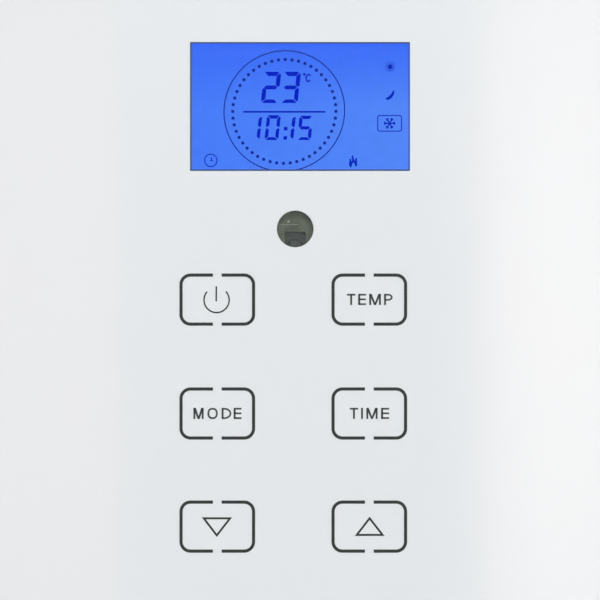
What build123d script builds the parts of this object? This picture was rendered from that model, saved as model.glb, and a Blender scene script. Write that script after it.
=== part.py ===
from build123d import *
import math
import os

# Electronic convector heater: a steel convection body on two moulded feet, with the control
# pod at its right end. X runs along the heater, the front faces -Y, and Z = 0 is the floor
# under the middle of the heater. All sizes are in millimetres.

# Whole heater
overall_width = 800.0
body_depth = 84.0
body_height = 430.0
floor_clearance = 52.0
pod_width = 182.0
cap_width = 30.0

# Clearances, and the overrun of every cut
seam_gap = 0.3
slip_gap = 0.15
pin_gap = 0.05
overrun = 3.0

half_width = overall_width / 2
half_depth = body_depth / 2
body_top = floor_clearance + body_height
pod_left = half_width - pod_width
cap_right = cap_width - half_width
steel_left = cap_right + seam_gap
steel_right = pod_left - seam_gap
steel_middle = (steel_left + steel_right) / 2
steel_length = steel_right - steel_left

# Screws
screw_head_radius = 3.0
screw_head_height = 1.8
screw_radius = 1.5
screw_hole_radius = screw_radius + pin_gap

# Sheet steel of the body
sheet = 1.0
panel_bend_radius = 8.0
top_flange = 12.0
bottom_flange = 22.0
plate_bend_radius = 2.0
plate_flange = 14.0
plate_corner_radius = 8.0
bottom_screw_shares = (0.04, 0.34, 0.66, 0.96)
bottom_screw_length = 5.0
rear_screw_drop_shares = (0.084, 0.5, 0.916)
rear_screw_length = 6.0

steel_inside = half_depth - sheet
bottom_inside = floor_clearance + sheet
plate_base = bottom_inside + sheet
bent_reach = half_depth - panel_bend_radius - seam_gap

# Air inlets of the rear panel and the bottom plate, and the wall slots
inlet_end_land = 32.7
inlet_slot_gap = 10.0
inlet_slot_height = 5.0
inlet_row_pitch = 13.0
inlet_columns = 14
inlet_rows = 4
inlet_base = 40.0
floor_slot_end_land = 47.7
floor_slot_gap = 12.0
floor_slot_length = 30.0
floor_slot_count = 28
wall_slot_length = 18.0
wall_slot_width = 6.4
wall_slot_pitch = 400.0
wall_slot_drop = 44.0

inlet_slot_pitch = (steel_length - 2 * inlet_end_land + inlet_slot_gap) / inlet_columns
floor_slot_pitch = (steel_length - 2 * floor_slot_end_land + floor_slot_gap) / floor_slot_count

# Outlet grille
grille_plate = 3.5
grille_face_depth = 2 * (half_depth - top_flange - seam_gap)
grille_end_land = 9.0
grille_side_land = 5.0
grille_skirt = 1.6
grille_drop = 12.0
vane_count = 5
vane_thickness = 1.4
vane_lean = 6.0
vane_bend_radius = 12.0
vane_sink = 0.6
rib_count = 11
rib_thickness = 1.8

# Finned heating element and what carries it
element_end_gap = 35.7
element_height = 60.0
element_hub_radius = 9.0
wing_reach = 28.0
wing_thickness = 2.4
fin_thickness = 1.6
fin_place_shares = (0.46, 0.73, 1.0)
fin_spread_share = 0.5
core_radius = 5.0
core_overhang = 4.0
terminal_radius = 1.6
terminal_length = 7.0
tab_thickness = 0.8
tab_width = 6.3
tab_length = 8.0
bushing_radius = 9.0
bushing_flange_radius = 12.0
bushing_flange = 4.0
bushing_length = 12.0
shield_setback = 5.0
shield_sheet = 0.8
shield_flange = 12.0
shield_base = 22.0
shield_top_gap = 42.0
shield_screw_inset = 6.0
shield_screw_shares = (0.228, 0.856)

element_z = floor_clearance + element_height
web_left = steel_left + sheet
web_right = steel_right - sheet

# Control pod moulding, seen from above
pod_wall = 2.5
pod_proud = 3.0
edge_radius = 5.0
control_share = 0.45
band_left_share = 0.253
band_right_share = 0.187
shoulder_turn = 12.0
shoulder_radius = 125.0
crease_radius = 90.0
front_corner_radius = 20.0
rear_corner_radius = 12.0
parting_depth = 30.0
post_radius = 5.0
post_well_radius = 3.5
post_floor = 6.0
post_bite = 12.0
post_inset_left = 8.0
post_inset_right = 14.0
post_inset_bottom = 16.0
post_inset_top = 18.0
lug_thickness = 3.5
lug_width = 14.0
lug_length = 13.5
lug_screw_length = 8.0
lug_shares = (0.214, 0.581, 0.865)
vent_width = 3.0
vent_length = 22.0
vent_gap = 4.0
vent_count = 5
vent_inset = 60.0

control_x = pod_left + control_share * pod_width
vent_pitch = vent_width + vent_gap
pod_face = -half_depth - pod_proud
pod_inside = pod_face + pod_wall
parting_y = parting_depth - half_depth

# Display and its window
window_width = 55.0
window_height = 32.25
window_drop = 42.7
window_gap = 0.3
window_flange = 2.5
window_flange_thickness = 1.0
display_margin = 1.8
display_thickness = 1.8
backlight_margin = 3.0
window_z = body_top - window_drop

# Receiver under the display
receiver_offset = -1.2
receiver_drop = 73.3
receiver_hole_radius = 4.6
receiver_flange_radius = 6.0
receiver_width = 5.0
receiver_height = 7.0
receiver_depth = 3.3
receiver_dome_radius = 2.0
receiver_top_drop = 0.7
receiver_x = control_x + receiver_offset
receiver_z = body_top - receiver_drop

# Touch keys: foam pillars behind the printed keys
key_offset = -1.65
key_pitch_x = 38.0
key_pitch_z = 28.35
key_rows = 3
first_key_drop = 90.9
pad_radius = 4.5
key_x = control_x + key_offset
key_z = body_top - first_key_drop

# Control board
board_setback = 6.5
board_thickness = 1.6
board_width = 96.0
board_height = 148.0
board_drop = 14.0
board_screw_inset = 4.0
board_boss_radius = 3.0
board_boss_root = 1.2
board_bore_depth = 5.6
board_screw_radius = 1.2
board_screw_head_radius = 2.3
board_screw_head = 1.4
plug_width = 14.0
plug_height = 6.0
plug_depth = 8.0
plug_inset = 30.0
plug_lift = 8.0
power_plug_drop = 16.0
sensor_plug_lift = 44.0
board_front = pod_inside + board_setback
board_back = board_front + board_thickness
board_bottom = body_top - board_drop - board_height
plug_x = key_x - plug_inset
plug_z = board_bottom + plug_lift

# Power board, standing on the partition
power_standoff = 8.0
power_inset = 14.0
power_depth = 50.0
power_base = 108.0
power_height = 110.0
standoff_radius = 2.8
standoff_neck_radius = 1.5
standoff_inset = 4.0
relay_size = (15.5, 15.5, 19.0)
relay_offsets = (10.0, 27.5)
relay_lift = 62.0
transformer_size = (28.0, 33.0, 34.0)
transformer_offset = 16.0
transformer_lift = 26.0
capacitor_radius = 6.0
capacitor_length = 18.0
capacitor_offset = 40.0
capacitor_lift = 92.0
terminal_size = (14.0, 40.0, 14.0)
terminal_offset = 5.0
terminal_lift = 8.0
terminal_ways = 4
terminal_pitch = 9.5
terminal_well_radius = 2.0
terminal_well_depth = 4.0
power_front = power_inset - half_depth
power_face = steel_right + power_standoff + board_thickness
power_bottom = floor_clearance + power_base
power_top = power_bottom + power_height

# Routes of the leads: how far they run straight at each end, and the points between, from
# the end of the first straight run
live_lead_ends = (30.0, 18.0)
live_lead_start = 20.0
live_lead_drop = 10.0
cutout_lead_ends = (26.0, 24.0)
cutout_lead_route = ((7.0, 5.0, -60.0), (5.0, 2.0, -130.0))
return_lead_ends = (10.0, 26.0)
return_lead_bow = 3.3
return_lead_shift = 2.3
return_lead_knee_share = 0.5
return_lead_turn = 28.0
return_lead_rise = (5.0, -1.0, 32.0)
earth_lead_ends = (16.0, 12.0)
switch_lead_ends = ((16.0, 20.0), (10.0, 20.0))
switch_lead_routes = (((14.0, 14.0, -13.0), (66.0, 22.0, -25.0)),
                      ((16.0, 16.0, -25.0), (66.0, 19.0, -45.0)))
signal_lead_ends = (14.0, 14.0)
signal_lead_route = ((-4.0, -4.0, -34.0),)
signal_lead_radius = 2.2
sensor_lead_ends = (16.0, 22.0)
sensor_lead_route = ((-20.0, -6.0, 24.0), (-28.0, -12.0, 80.0))
sensor_lead_radius = 1.0

# Thermal cutout, earth stud, grommets and clips
cutout_lift = 30.0
cutout_radius = 8.0
cutout_depth = 11.5
cutout_cap_radius = 7.0
cutout_cap_reach = 5.0
cutout_ear = 16.0
cutout_ear_width = 9.0
cutout_tab_offset = 4.5
stud_inset = 24.0
stud_height = 48.0
stud_radius = 2.0
stud_length = 13.0
nut_width = 7.0
nut_height = 3.2
ring_radius = 4.0
ring_barrel_radius = 1.9
ring_barrel_length = 9.0
lead_radius = 1.4
lead_arc_share = 0.45
floor_lead_inset = 16.0
floor_lead_lift = 8.0
grommet_radius = 4.2
grommet_flange_radius = 5.4
grommet_flange = 1.6
clip_width = 8.0
clip_depth = 9.0
clip_cover = 2.6
clip_shares = (0.18, 0.42, 0.58, 0.84)
cutout_z = power_top + cutout_lift
stud_y = stud_inset - half_depth
stud_z = floor_clearance + stud_height
floor_lead_y = floor_lead_inset - half_depth
floor_lead_z = floor_clearance + floor_lead_lift

# Cord entry
gland_x = 27.0
gland_inset = 15.0
gland_bore_radius = 4.2
gland_radius = 6.5
gland_nose_radius = 5.4
gland_flange_radius = 8.5
gland_flange = 2.0
gland_nose = 12.0
clamp_lift = 11.0
clamp_width = 8.0
clamp_sheet = 1.5
clamp_reach = 6.0
clamp_ear = 7.0
clamp_bend = 2.5
clamp_boss_radius = 3.4
clamp_screw_length = 6.0
gland_y = half_depth - gland_inset

# Mains switch in the side wall
switch_y = 10.0
switch_height = 58.0
recess_depth = 5.0
recess_width = 21.0
recess_height = 27.0
recess_wall = 2.0
bezel_width = 16.0
bezel_height = 23.0
bezel_thickness = 2.0
rocker_radius = 8.9
rocker_width = 10.8
rocker_gap = 0.2
rocker_setback = 4.0
rocker_back = 3.0
rocker_centre_rise = 4.0
rocker_end_rise = 5.6
rocker_end_reach = 7.0
rocker_turn = 9.0
rocker_pin_radius = 1.2
rocker_pin_length = 0.8
switch_wall = 0.9
switch_depth = 15.0
switch_tab_spread = 6.0
switch_z = floor_clearance + switch_height
recess_floor = half_width - recess_depth
rocker_x = recess_floor - rocker_setback

# Tip-over switch
tilt_inset = 28.0
tilt_width = 24.0
tilt_depth = 18.0
tilt_base = 28.0
tilt_height = 30.0
tilt_wall = 1.5
tilt_pin_radius = 1.0
tilt_pin_drop = 6.0
tilt_pin_seat = 1.0
tilt_hub_radius = 2.6
tilt_arm = 14.0
tilt_arm_width = 2.4
tilt_bob_radius = 4.6
tilt_bob_length = 8.0
tilt_y = half_depth - tilt_inset
tilt_middle_y = tilt_y + tilt_width / 2
tilt_bottom = floor_clearance + tilt_base
tilt_pin_z = tilt_bottom + tilt_height - tilt_pin_drop

# Room sensor over the vents of the pod
sensor_radius = 1.8
sensor_length = 9.0
sensor_lift = 8.0
sensor_clip_width = 6.0
sensor_y = -10.0
sensor_x = half_width - vent_inset - vent_pitch * vent_count
sensor_z = floor_clearance + pod_wall + sensor_lift

# Left end cap
cap_post_radius = 5.5
cap_post_floor = 3.0
cap_post_shares = (0.228, 0.809)
cap_screw_length = 8.0
shield_screw_length = 5.0

# Feet
foot_to_gland = 55.0
left_foot_inset = 100.0
foot_width = 44.0
foot_depth = 230.0
foot_wall = 3.0
foot_saddle_margin = 2.0
foot_waist_run = 22.0
foot_waist_height = 22.0
foot_tip_height = 13.0
foot_tip_radius = 5.0
foot_waist_radius = 30.0
foot_saddle_radius = 6.0
foot_corner_radius = 14.0
foot_screw_inset = 15.0
foot_screw_length = 8.0
foot_boss_radius = 4.2
foot_boss_height = 12.0
pad_lift = 3.0
pad_height = 4.0
pad_width = 26.0
pad_depth = 20.0
pad_place = 97.0
pad_land = 3.0
pad_corner_radius = 4.0
foot_screw_y = half_depth - foot_screw_inset
foot_saddle_reach = half_depth - foot_saddle_margin
foot_waist_reach = foot_saddle_reach + foot_waist_run


def block(low, high):
    """Box between two opposite corners."""
    size = [b - a for a, b in zip(low, high)]
    middle = [(a + b) / 2 for a, b in zip(low, high)]
    return Pos(*middle) * Box(*size)


def slab(centre, size):
    """Box of a size about its centre."""
    return Pos(*centre) * Box(*size)


def rod(start, direction, radius, length):
    """Round bar from the middle of one end along a direction."""
    return extrude(Plane(origin=start, z_dir=direction) * Circle(radius), amount=length)


def filled(points, radii):
    """Closed outline with one corner radius for each of its points."""
    return make_face(FilletPolyline(*points, radius=radii, close=True))


def folded_strip(points, radii, thickness):
    """Outline of a strip of one thickness that lies on the left of its points, bent at each."""
    ways = []
    for start, end in zip(points, points[1:]):
        run = math.hypot(end[0] - start[0], end[1] - start[1])
        ways.append(((end[0] - start[0]) / run, (end[1] - start[1]) / run))
    before = [ways[0]] + ways
    after = ways + [ways[-1]]
    far_points = []
    for point, a, b in zip(points, before, after):
        reach = thickness / (1 + a[0] * b[0] + a[1] * b[1])
        far_points.append((point[0] - reach * (a[1] + b[1]), point[1] + reach * (a[0] + b[0])))
    far_radii = []
    for radius, a, b in zip(radii, ways, ways[1:]):
        left_turn = a[0] * b[1] - a[1] * b[0] > 0
        far_radii.append(radius - thickness if left_turn else radius + thickness)
    corners = [0, *radii, 0, 0, *reversed(far_radii), 0]
    return filled([*points, *reversed(far_points)], corners)


def along_x(sketch, start, end):
    """Prism of an outline drawn in Y and Z, from one X to another."""
    return extrude(Plane.YZ.offset(start) * sketch, amount=end - start)


def along_z(sketch, start, end):
    """Prism of an outline drawn in X and Y, from one Z to another."""
    return extrude(Plane.XY.offset(start) * sketch, amount=end - start)


def screw(seat, direction, length, radius=screw_radius, head=screw_head_radius,
          head_height=screw_head_height):
    """Pan-head screw; the seat is under its head, and its shank runs along the direction."""
    axis = Plane(origin=seat, z_dir=direction)
    cap = extrude(axis * Circle(head), amount=-head_height)
    return cap + extrude(axis * Circle(radius), amount=length)


def lead(points, radius=lead_radius):
    """Insulated wire: straight runs joined by the largest arcs that the runs leave room for."""
    places = [Vector(*point) for point in points]
    runs = [b - a for a, b in zip(places, places[1:])]
    radii = []
    for before, after in zip(runs, runs[1:]):
        turn = math.radians(before.get_angle(after))
        shorter = min(before.length, after.length)
        radii.append(lead_arc_share * shorter / math.tan(turn / 2))
    path = FilletPolyline(*points, radius=radii)
    return sweep(Plane(origin=path @ 0, z_dir=path % 0) * Circle(radius), path=path)


def moulded_end(points, radii):
    """End housing: a block with rounded rims, hollowed from its open side to an even wall."""
    plan = filled(points, [0, *radii, 0])
    shell = along_z(plan, floor_clearance, body_top)
    open_x = points[0][0]
    rims = [
        edge
        for face in (shell.faces().sort_by(Axis.Z)[0], shell.faces().sort_by(Axis.Z)[-1])
        for edge in face.edges()
        if abs(edge.center().X - open_x) > seam_gap
    ]
    shell = fillet(rims, edge_radius)
    hollow = plan - folded_strip(points, radii, pod_wall)
    return shell - along_z(hollow, floor_clearance + pod_wall, body_top - pod_wall)


# Control pod


def pod_points():
    """Plan of the pod: flat band between a sloping left shoulder and a curved right one."""
    slope = math.tan(math.radians(shoulder_turn))
    turn_x = control_x + band_right_share * pod_width
    turn_x += shoulder_radius * math.tan(math.radians(shoulder_turn) / 2)
    return [
        (pod_left, -half_depth),
        (control_x - band_left_share * pod_width, pod_face),
        (turn_x, pod_face),
        (half_width, pod_face + (half_width - turn_x) * slope),
        (half_width, half_depth),
        (pod_left, half_depth),
    ]


pod_radii = [crease_radius, shoulder_radius, front_corner_radius, rear_corner_radius]
pod_block = along_z(filled(pod_points(), [0, *pod_radii, 0]), floor_clearance, body_top)
post_places = [
    (x, z)
    for x in (pod_left + post_inset_left, half_width - post_inset_right)
    for z in (floor_clearance + post_inset_bottom, body_top - post_inset_top)
]
board_screw_places = [
    (key_x + side * (board_width / 2 - board_screw_inset), z)
    for side in (-1, 1)
    for z in (
        board_bottom + board_screw_inset,
        board_bottom + board_height / 2,
        board_bottom + board_height - board_screw_inset,
    )
]
pad_places = [
    (key_x + side * key_pitch_x / 2, key_z - row * key_pitch_z)
    for side in (-1, 1)
    for row in range(key_rows)
]
foot_places = [left_foot_inset - half_width, pod_left + gland_x + foot_to_gland]


def pod_front(shell):
    """Front half: window, receiver hole, board bosses, screw posts and foot boss."""
    front = shell & block(
        (pod_left - overrun, pod_face - overrun, floor_clearance - overrun),
        (half_width + overrun, parting_y, body_top + overrun),
    )
    for x, z in post_places:
        post = rod((x, pod_face, z), (0, 1, 0), post_radius, parting_y - pod_face)
        front += post & pod_block
        front -= rod((x, parting_y, z), (0, -1, 0), screw_hole_radius, post_bite)
    for x, z in board_screw_places:
        root = pod_inside - board_boss_root
        front += rod((x, root, z), (0, 1, 0), board_boss_radius, board_front - root)
        bore = board_screw_radius + pin_gap
        front -= rod((x, board_front, z), (0, -1, 0), bore, board_bore_depth)
    foot_seat = (foot_places[1], -foot_screw_y, floor_clearance)
    front += rod(foot_seat, (0, 0, 1), foot_boss_radius, foot_boss_height)
    front -= rod(foot_seat, (0, 0, 1), screw_hole_radius, foot_screw_length)
    front -= slab((control_x, pod_face, window_z),
                  (window_width, 2 * pod_wall + overrun, window_height))
    front -= rod((receiver_x, pod_face - overrun, receiver_z), (0, 1, 0),
                 receiver_hole_radius, pod_wall + 2 * overrun)
    return front


def pod_rear(shell):
    """Rear half: screw wells, partition lugs, cord entry, switch recess, vents, foot boss."""
    rear = shell & block(
        (pod_left - overrun, parting_y, floor_clearance - overrun),
        (half_width + overrun, half_depth + overrun, body_top + overrun),
    )
    for x, z in post_places:
        rear += rod((x, parting_y, z), (0, 1, 0), post_radius, half_depth - parting_y)
        rear -= rod((x, parting_y - overrun, z), (0, 1, 0), screw_hole_radius, body_depth)
        well = half_depth - parting_y - post_floor
        rear -= rod((x, parting_y + post_floor, z), (0, 1, 0), post_well_radius, well + overrun)
    for z in lug_places:
        rear += block(
            (pod_left, half_depth - pod_wall - lug_length, z - lug_width / 2),
            (pod_left + lug_thickness, half_depth - pod_wall, z + lug_width / 2),
        )
        rear -= rod((pod_left + lug_thickness + overrun, lug_screw_y, z), (-1, 0, 0),
                    screw_hole_radius, lug_thickness + 2 * overrun)
    tub = (2 * recess_wall + recess_depth, recess_width + 2 * recess_wall,
           recess_height + 2 * recess_wall)
    rear += slab((half_width - tub[0] / 2, switch_y, switch_z), tub) & pod_block
    rear -= slab((half_width, switch_y, switch_z), (2 * recess_depth, recess_width, recess_height))
    rear -= slab((recess_floor, switch_y, switch_z),
                 (4 * recess_depth, switch_body_width + 2 * slip_gap,
                  switch_body_height + 2 * slip_gap))
    entry = (pod_left + gland_x, gland_y, floor_clearance - overrun)
    rear -= rod(entry, (0, 0, 1), gland_radius + pin_gap, pod_wall + 2 * overrun)
    for side in (-1, 1):
        x = pod_left + gland_x + side * clamp_screw_spread
        seat = gland_y + gland_bore_radius
        boss = rod((x, seat, clamp_z), (0, 1, 0), clamp_boss_radius, half_depth - pod_wall - seat)
        rear += boss
        rear -= rod((x, seat, clamp_z), (0, 1, 0), screw_hole_radius, clamp_screw_length)
    for index in range(vent_count):
        x = half_width - vent_inset + vent_pitch * index - vent_pitch * vent_count / 2
        rear -= slab((x, 0, floor_clearance), (vent_width, vent_length, 2 * pod_wall + overrun))
    foot_seat = (foot_places[1], foot_screw_y, floor_clearance)
    rear += rod(foot_seat, (0, 0, 1), foot_boss_radius, foot_boss_height)
    rear -= rod(foot_seat, (0, 0, 1), screw_hole_radius, foot_screw_length)
    return rear


lug_places = [floor_clearance + share * body_height for share in lug_shares]
lug_screw_y = half_depth - pod_wall - lug_length / 2
clamp_z = floor_clearance + pod_wall + clamp_lift
clamp_screw_spread = clamp_reach + clamp_ear / 2
switch_body_width = rocker_width + 2 * (rocker_gap + switch_wall)
switch_body_height = 2 * (rocker_radius + rocker_gap + switch_wall)


def window(width, height, flange, thickness):
    """Flush window: its face fills the opening, and a flange lies behind the wall."""
    face = block(
        (control_x - width / 2, pod_face, window_z - height / 2),
        (control_x + width / 2, pod_inside, window_z + height / 2),
    )
    back = block(
        (control_x - width / 2 - flange, pod_inside, window_z - height / 2 - flange),
        (control_x + width / 2 + flange, pod_inside + thickness, window_z + height / 2 + flange),
    )
    return face + back


def receiver_window():
    """Smoked disc flush with the cover, with a flange behind the wall."""
    place = (receiver_x, pod_face, receiver_z)
    face = rod(place, (0, 1, 0), receiver_hole_radius - slip_gap, pod_wall)
    back = rod((receiver_x, pod_inside, receiver_z), (0, 1, 0), receiver_flange_radius,
               window_flange_thickness)
    return face + back


def receiver_module():
    """Infrared receiver that stands off the board, with a round lens."""
    top = receiver_z - receiver_top_drop
    low = (receiver_x - receiver_width / 2, board_front - receiver_depth, top - receiver_height)
    body = block(low, (receiver_x + receiver_width / 2, board_front, top))
    middle = (receiver_x, board_front - receiver_depth, top - receiver_height / 2)
    dome = Pos(*middle) * Sphere(receiver_dome_radius)
    return body + (dome & block((low[0], low[1] - receiver_dome_radius, low[2]),
                                (receiver_x + receiver_width / 2, board_front, top)))


display_front = pod_inside + window_flange_thickness + slip_gap
display_back = display_front + display_thickness


def display_plate(margin, front, back):
    """Plate behind the window, larger than it by a margin on each side."""
    return block(
        (control_x - window_width / 2 - margin, front, window_z - window_height / 2 - margin),
        (control_x + window_width / 2 + margin, back, window_z + window_height / 2 + margin),
    )


def control_board():
    """Board of the display and the touch keys, with its screw holes."""
    board = block(
        (key_x - board_width / 2, board_front, board_bottom),
        (key_x + board_width / 2, board_back, board_bottom + board_height),
    )
    for x, z in board_screw_places:
        board -= rod((x, board_front - overrun, z), (0, 1, 0), board_screw_radius + pin_gap,
                     board_thickness + 2 * overrun)
    return board


def touch_pads():
    """Foam pillars that carry the touch fields up to the back of the cover."""
    length = board_setback - slip_gap
    return [rod((x, board_front, z), (0, -1, 0), pad_radius, length) for x, z in pad_places]


def signal_plugs():
    """Plug on the back of the control board, and two on the front edge of the power board."""
    plugs = [slab((plug_x, board_back + plug_depth / 2, plug_z),
                  (plug_width, plug_depth, plug_height))]
    for z in (power_top - power_plug_drop, power_bottom + sensor_plug_lift):
        plugs.append(slab((power_face + plug_depth / 2, power_plug_y, z),
                          (plug_depth, plug_width, plug_height)))
    return plugs


# Power section on the partition


power_plug_y = power_front + plug_width / 2 + seam_gap
standoff_places = [
    (y, z)
    for y in (power_front + standoff_inset, power_front + power_depth - standoff_inset)
    for z in (power_bottom + standoff_inset, power_top - standoff_inset)
]


def power_board():
    """Mains board that stands on the partition."""
    board = block((steel_right + power_standoff, power_front, power_bottom),
                  (power_face, power_front + power_depth, power_top))
    for y, z in standoff_places:
        board -= rod((power_face + overrun, y, z), (-1, 0, 0), standoff_neck_radius + pin_gap,
                     board_thickness + 2 * overrun)
    return board


def board_standoffs():
    """Snap-in pillars: a post, a neck through the board and a cap."""
    posts = []
    for y, z in standoff_places:
        post = rod((steel_right, y, z), (1, 0, 0), standoff_radius, power_standoff)
        post += rod((steel_right + power_standoff, y, z), (1, 0, 0), standoff_neck_radius,
                    board_thickness)
        post += rod((power_face, y, z), (1, 0, 0), standoff_radius, board_thickness)
        posts.append(post)
    return posts


def on_board(size, offset, lift):
    """Component block on the power board, from its lower front corner."""
    y = power_front + offset
    z = power_bottom + lift
    return block((power_face, y, z), (power_face + size[0], y + size[1], z + size[2]))


def terminal_block():
    """Screw terminals with a well over each way."""
    body = on_board(terminal_size, terminal_offset, terminal_lift)
    for y in terminal_ys:
        body -= rod((power_face + terminal_size[0], y, terminal_entry_z + terminal_size[2] / 2),
                    (-1, 0, 0), terminal_well_radius, terminal_well_depth)
    return body


terminal_entry_z = power_bottom + terminal_lift
terminal_ys = [
    power_front + terminal_offset + terminal_size[1] / 2
    + (index - (terminal_ways - 1) / 2) * terminal_pitch
    for index in range(terminal_ways)
]
terminal_x = power_face + terminal_size[0] / 2
capacitor_y = power_front + capacitor_offset
capacitor_z = power_bottom + capacitor_lift


def flat_tab(start, direction, across):
    """Push-on tab from the middle of its root along X or Z, flat across one axis."""
    end = [a + d * tab_length for a, d in zip(start, direction)]
    half = [tab_thickness / 2, tab_thickness / 2, tab_thickness / 2]
    half[across] = tab_width / 2
    low = [min(a, b) - h * (1 - abs(d)) for a, b, h, d in zip(start, end, half, direction)]
    high = [max(a, b) + h * (1 - abs(d)) for a, b, h, d in zip(start, end, half, direction)]
    return block(low, high)


def thermal_cutout():
    """Bimetal cutout: its cap reaches through the partition into the warm chamber."""
    plate = slab((steel_right + tab_thickness / 2, 0, cutout_z),
                 (tab_thickness, 2 * cutout_ear, cutout_ear_width))
    body = rod((steel_right, 0, cutout_z), (1, 0, 0), cutout_radius, cutout_depth)
    cap = rod((steel_right, 0, cutout_z), (-1, 0, 0), cutout_cap_radius, cutout_cap_reach)
    cutout = plate + body + cap
    for side in (-1, 1):
        start = (steel_right + cutout_depth, side * cutout_tab_offset, cutout_z)
        cutout += flat_tab(start, (1, 0, 0), 2)
    return cutout


def earth_stud():
    """Earth bolt with its nut, and the ring of the earth lead under the nut."""
    ring_face = steel_right + tab_thickness
    bolt = rod((web_right - nut_height, stud_y, stud_z), (1, 0, 0), nut_width / 2, nut_height)
    bolt += rod((web_right, stud_y, stud_z), (1, 0, 0), stud_radius, stud_length)
    nut = extrude(Plane(origin=(ring_face, stud_y, stud_z), z_dir=(1, 0, 0))
                  * RegularPolygon(nut_width / 2, 6, major_radius=False), amount=nut_height)
    nut -= rod((ring_face, stud_y, stud_z), (1, 0, 0), stud_radius + pin_gap, nut_height)
    ring = rod((steel_right, stud_y, stud_z), (1, 0, 0), ring_radius, tab_thickness)
    ring += block((steel_right, stud_y - ring_barrel_radius, stud_z),
                  (ring_face, stud_y + ring_barrel_radius, stud_z + ring_radius + overrun))
    ring += rod((steel_right + ring_barrel_radius, stud_y, ring_top - ring_barrel_length), (0, 0, 1),
                ring_barrel_radius, ring_barrel_length)
    ring -= rod((steel_right - overrun, stud_y, stud_z), (1, 0, 0), stud_radius + pin_gap,
                tab_thickness + 2 * overrun)
    return [bolt, nut, ring]


ring_top = stud_z + ring_radius + 2 * ring_barrel_radius + ring_barrel_length


def cord_gland():
    """Bushing of the supply cord: a flange inside, a waist in the wall and a tapered nose."""
    x = pod_left + gland_x
    floor_inside = floor_clearance + pod_wall
    gland = rod((x, gland_y, floor_inside), (0, 0, 1), gland_flange_radius, gland_flange)
    gland += rod((x, gland_y, floor_clearance), (0, 0, 1), gland_radius, pod_wall)
    nose = Plane(origin=(x, gland_y, floor_clearance), z_dir=(0, 0, -1))
    gland += loft([nose * Circle(gland_radius), nose.offset(gland_nose) * Circle(gland_nose_radius)])
    gland -= rod((x, gland_y, floor_clearance - gland_nose - overrun), (0, 0, 1), gland_bore_radius,
                 gland_nose + pod_wall + gland_flange + 2 * overrun)
    return gland


def cord_clamp():
    """Steel saddle that presses the cord against the rear wall."""
    x = pod_left + gland_x
    seat = gland_y + gland_bore_radius
    crown = gland_y - gland_bore_radius - clamp_sheet
    outer = clamp_reach + clamp_ear
    points = [
        (x - outer, seat - clamp_sheet), (x - clamp_reach, seat - clamp_sheet),
        (x - clamp_reach, crown), (x + clamp_reach, crown),
        (x + clamp_reach, seat - clamp_sheet), (x + outer, seat - clamp_sheet),
    ]
    strip = folded_strip(points, [slip_gap, clamp_bend, clamp_bend, slip_gap], clamp_sheet)
    clamp = along_z(strip, clamp_z - clamp_width / 2, clamp_z + clamp_width / 2)
    for side in (-1, 1):
        clamp -= rod((x + side * clamp_screw_spread, seat + overrun, clamp_z), (0, -1, 0),
                     screw_hole_radius, clamp_sheet + 2 * overrun)
    return clamp


def clamp_screws():
    """Screws that pull the clamp against its two bosses."""
    seat = gland_y + gland_bore_radius - clamp_sheet
    return [
        screw((pod_left + gland_x + side * clamp_screw_spread, seat, clamp_z), (0, 1, 0),
              clamp_sheet + clamp_screw_length - pin_gap)
        for side in (-1, 1)
    ]


# Mains switch


def switch_housing():
    """Snap-in housing with a bezel in the recess and two tabs behind."""
    bezel = block(
        (recess_floor, switch_y - bezel_width / 2, switch_z - bezel_height / 2),
        (recess_floor + bezel_thickness, switch_y + bezel_width / 2, switch_z + bezel_height / 2),
    )
    body = slab((recess_floor - switch_depth / 2, switch_y, switch_z),
                (switch_depth, switch_body_width, switch_body_height))
    cavity_depth = switch_depth - switch_wall + bezel_thickness + overrun
    cavity_x = recess_floor + bezel_thickness + overrun - cavity_depth / 2
    housing = bezel + body
    housing -= slab((cavity_x, switch_y, switch_z),
                    (cavity_depth, switch_body_width - 2 * switch_wall,
                     switch_body_height - 2 * switch_wall))
    housing -= rod((rocker_x, switch_y - bezel_width, switch_z), (0, 1, 0),
                   rocker_pin_radius + pin_gap, 2 * bezel_width)
    for side in (-1, 1):
        start = (recess_floor - switch_depth, switch_y, switch_z + side * switch_tab_spread)
        housing += flat_tab(start, (-1, 0, 0), 1)
    return housing


def switch_rocker():
    """Rocker with ends round about its pivot and a shallow valley in its face, at rest off."""
    face = Polygon(
        (-rocker_back, -rocker_radius - overrun), (rocker_end_rise, -rocker_end_reach),
        (rocker_centre_rise, 0), (rocker_end_rise, rocker_end_reach),
        (-rocker_back, rocker_radius + overrun), align=None,
    )
    side = Plane(origin=(rocker_x, switch_y + rocker_width / 2, switch_z), x_dir=(1, 0, 0),
                 z_dir=(0, -1, 0))
    tilted = Rot(0, 0, -rocker_turn) * (Circle(rocker_radius) & face)
    rocker = extrude(side * tilted, amount=rocker_width)
    for way in (-1, 1):
        start = (rocker_x, switch_y + way * (rocker_width / 2 - pin_gap), switch_z)
        rocker += rod(start, (0, way, 0), rocker_pin_radius, rocker_pin_length)
    return rocker


# Tip-over switch


def tilt_case():
    """Case of the tip-over switch, open to the right under its lid."""
    low = (steel_right, tilt_y, tilt_bottom)
    high = (steel_right + tilt_depth - tilt_wall, tilt_y + tilt_width, tilt_bottom + tilt_height)
    case = block(low, high)
    case -= block([low[0] + tilt_wall, low[1] + tilt_wall, low[2] + tilt_wall],
                  [high[0] + overrun, high[1] - tilt_wall, high[2] - tilt_wall])
    return case - tilt_pin(pin_gap)


def tilt_lid():
    """Lid that closes the case and holds the far end of the pin."""
    face = steel_right + tilt_depth
    lid = block((face - tilt_wall, tilt_y, tilt_bottom),
                (face, tilt_y + tilt_width, tilt_bottom + tilt_height))
    return lid - tilt_pin(pin_gap)


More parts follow.
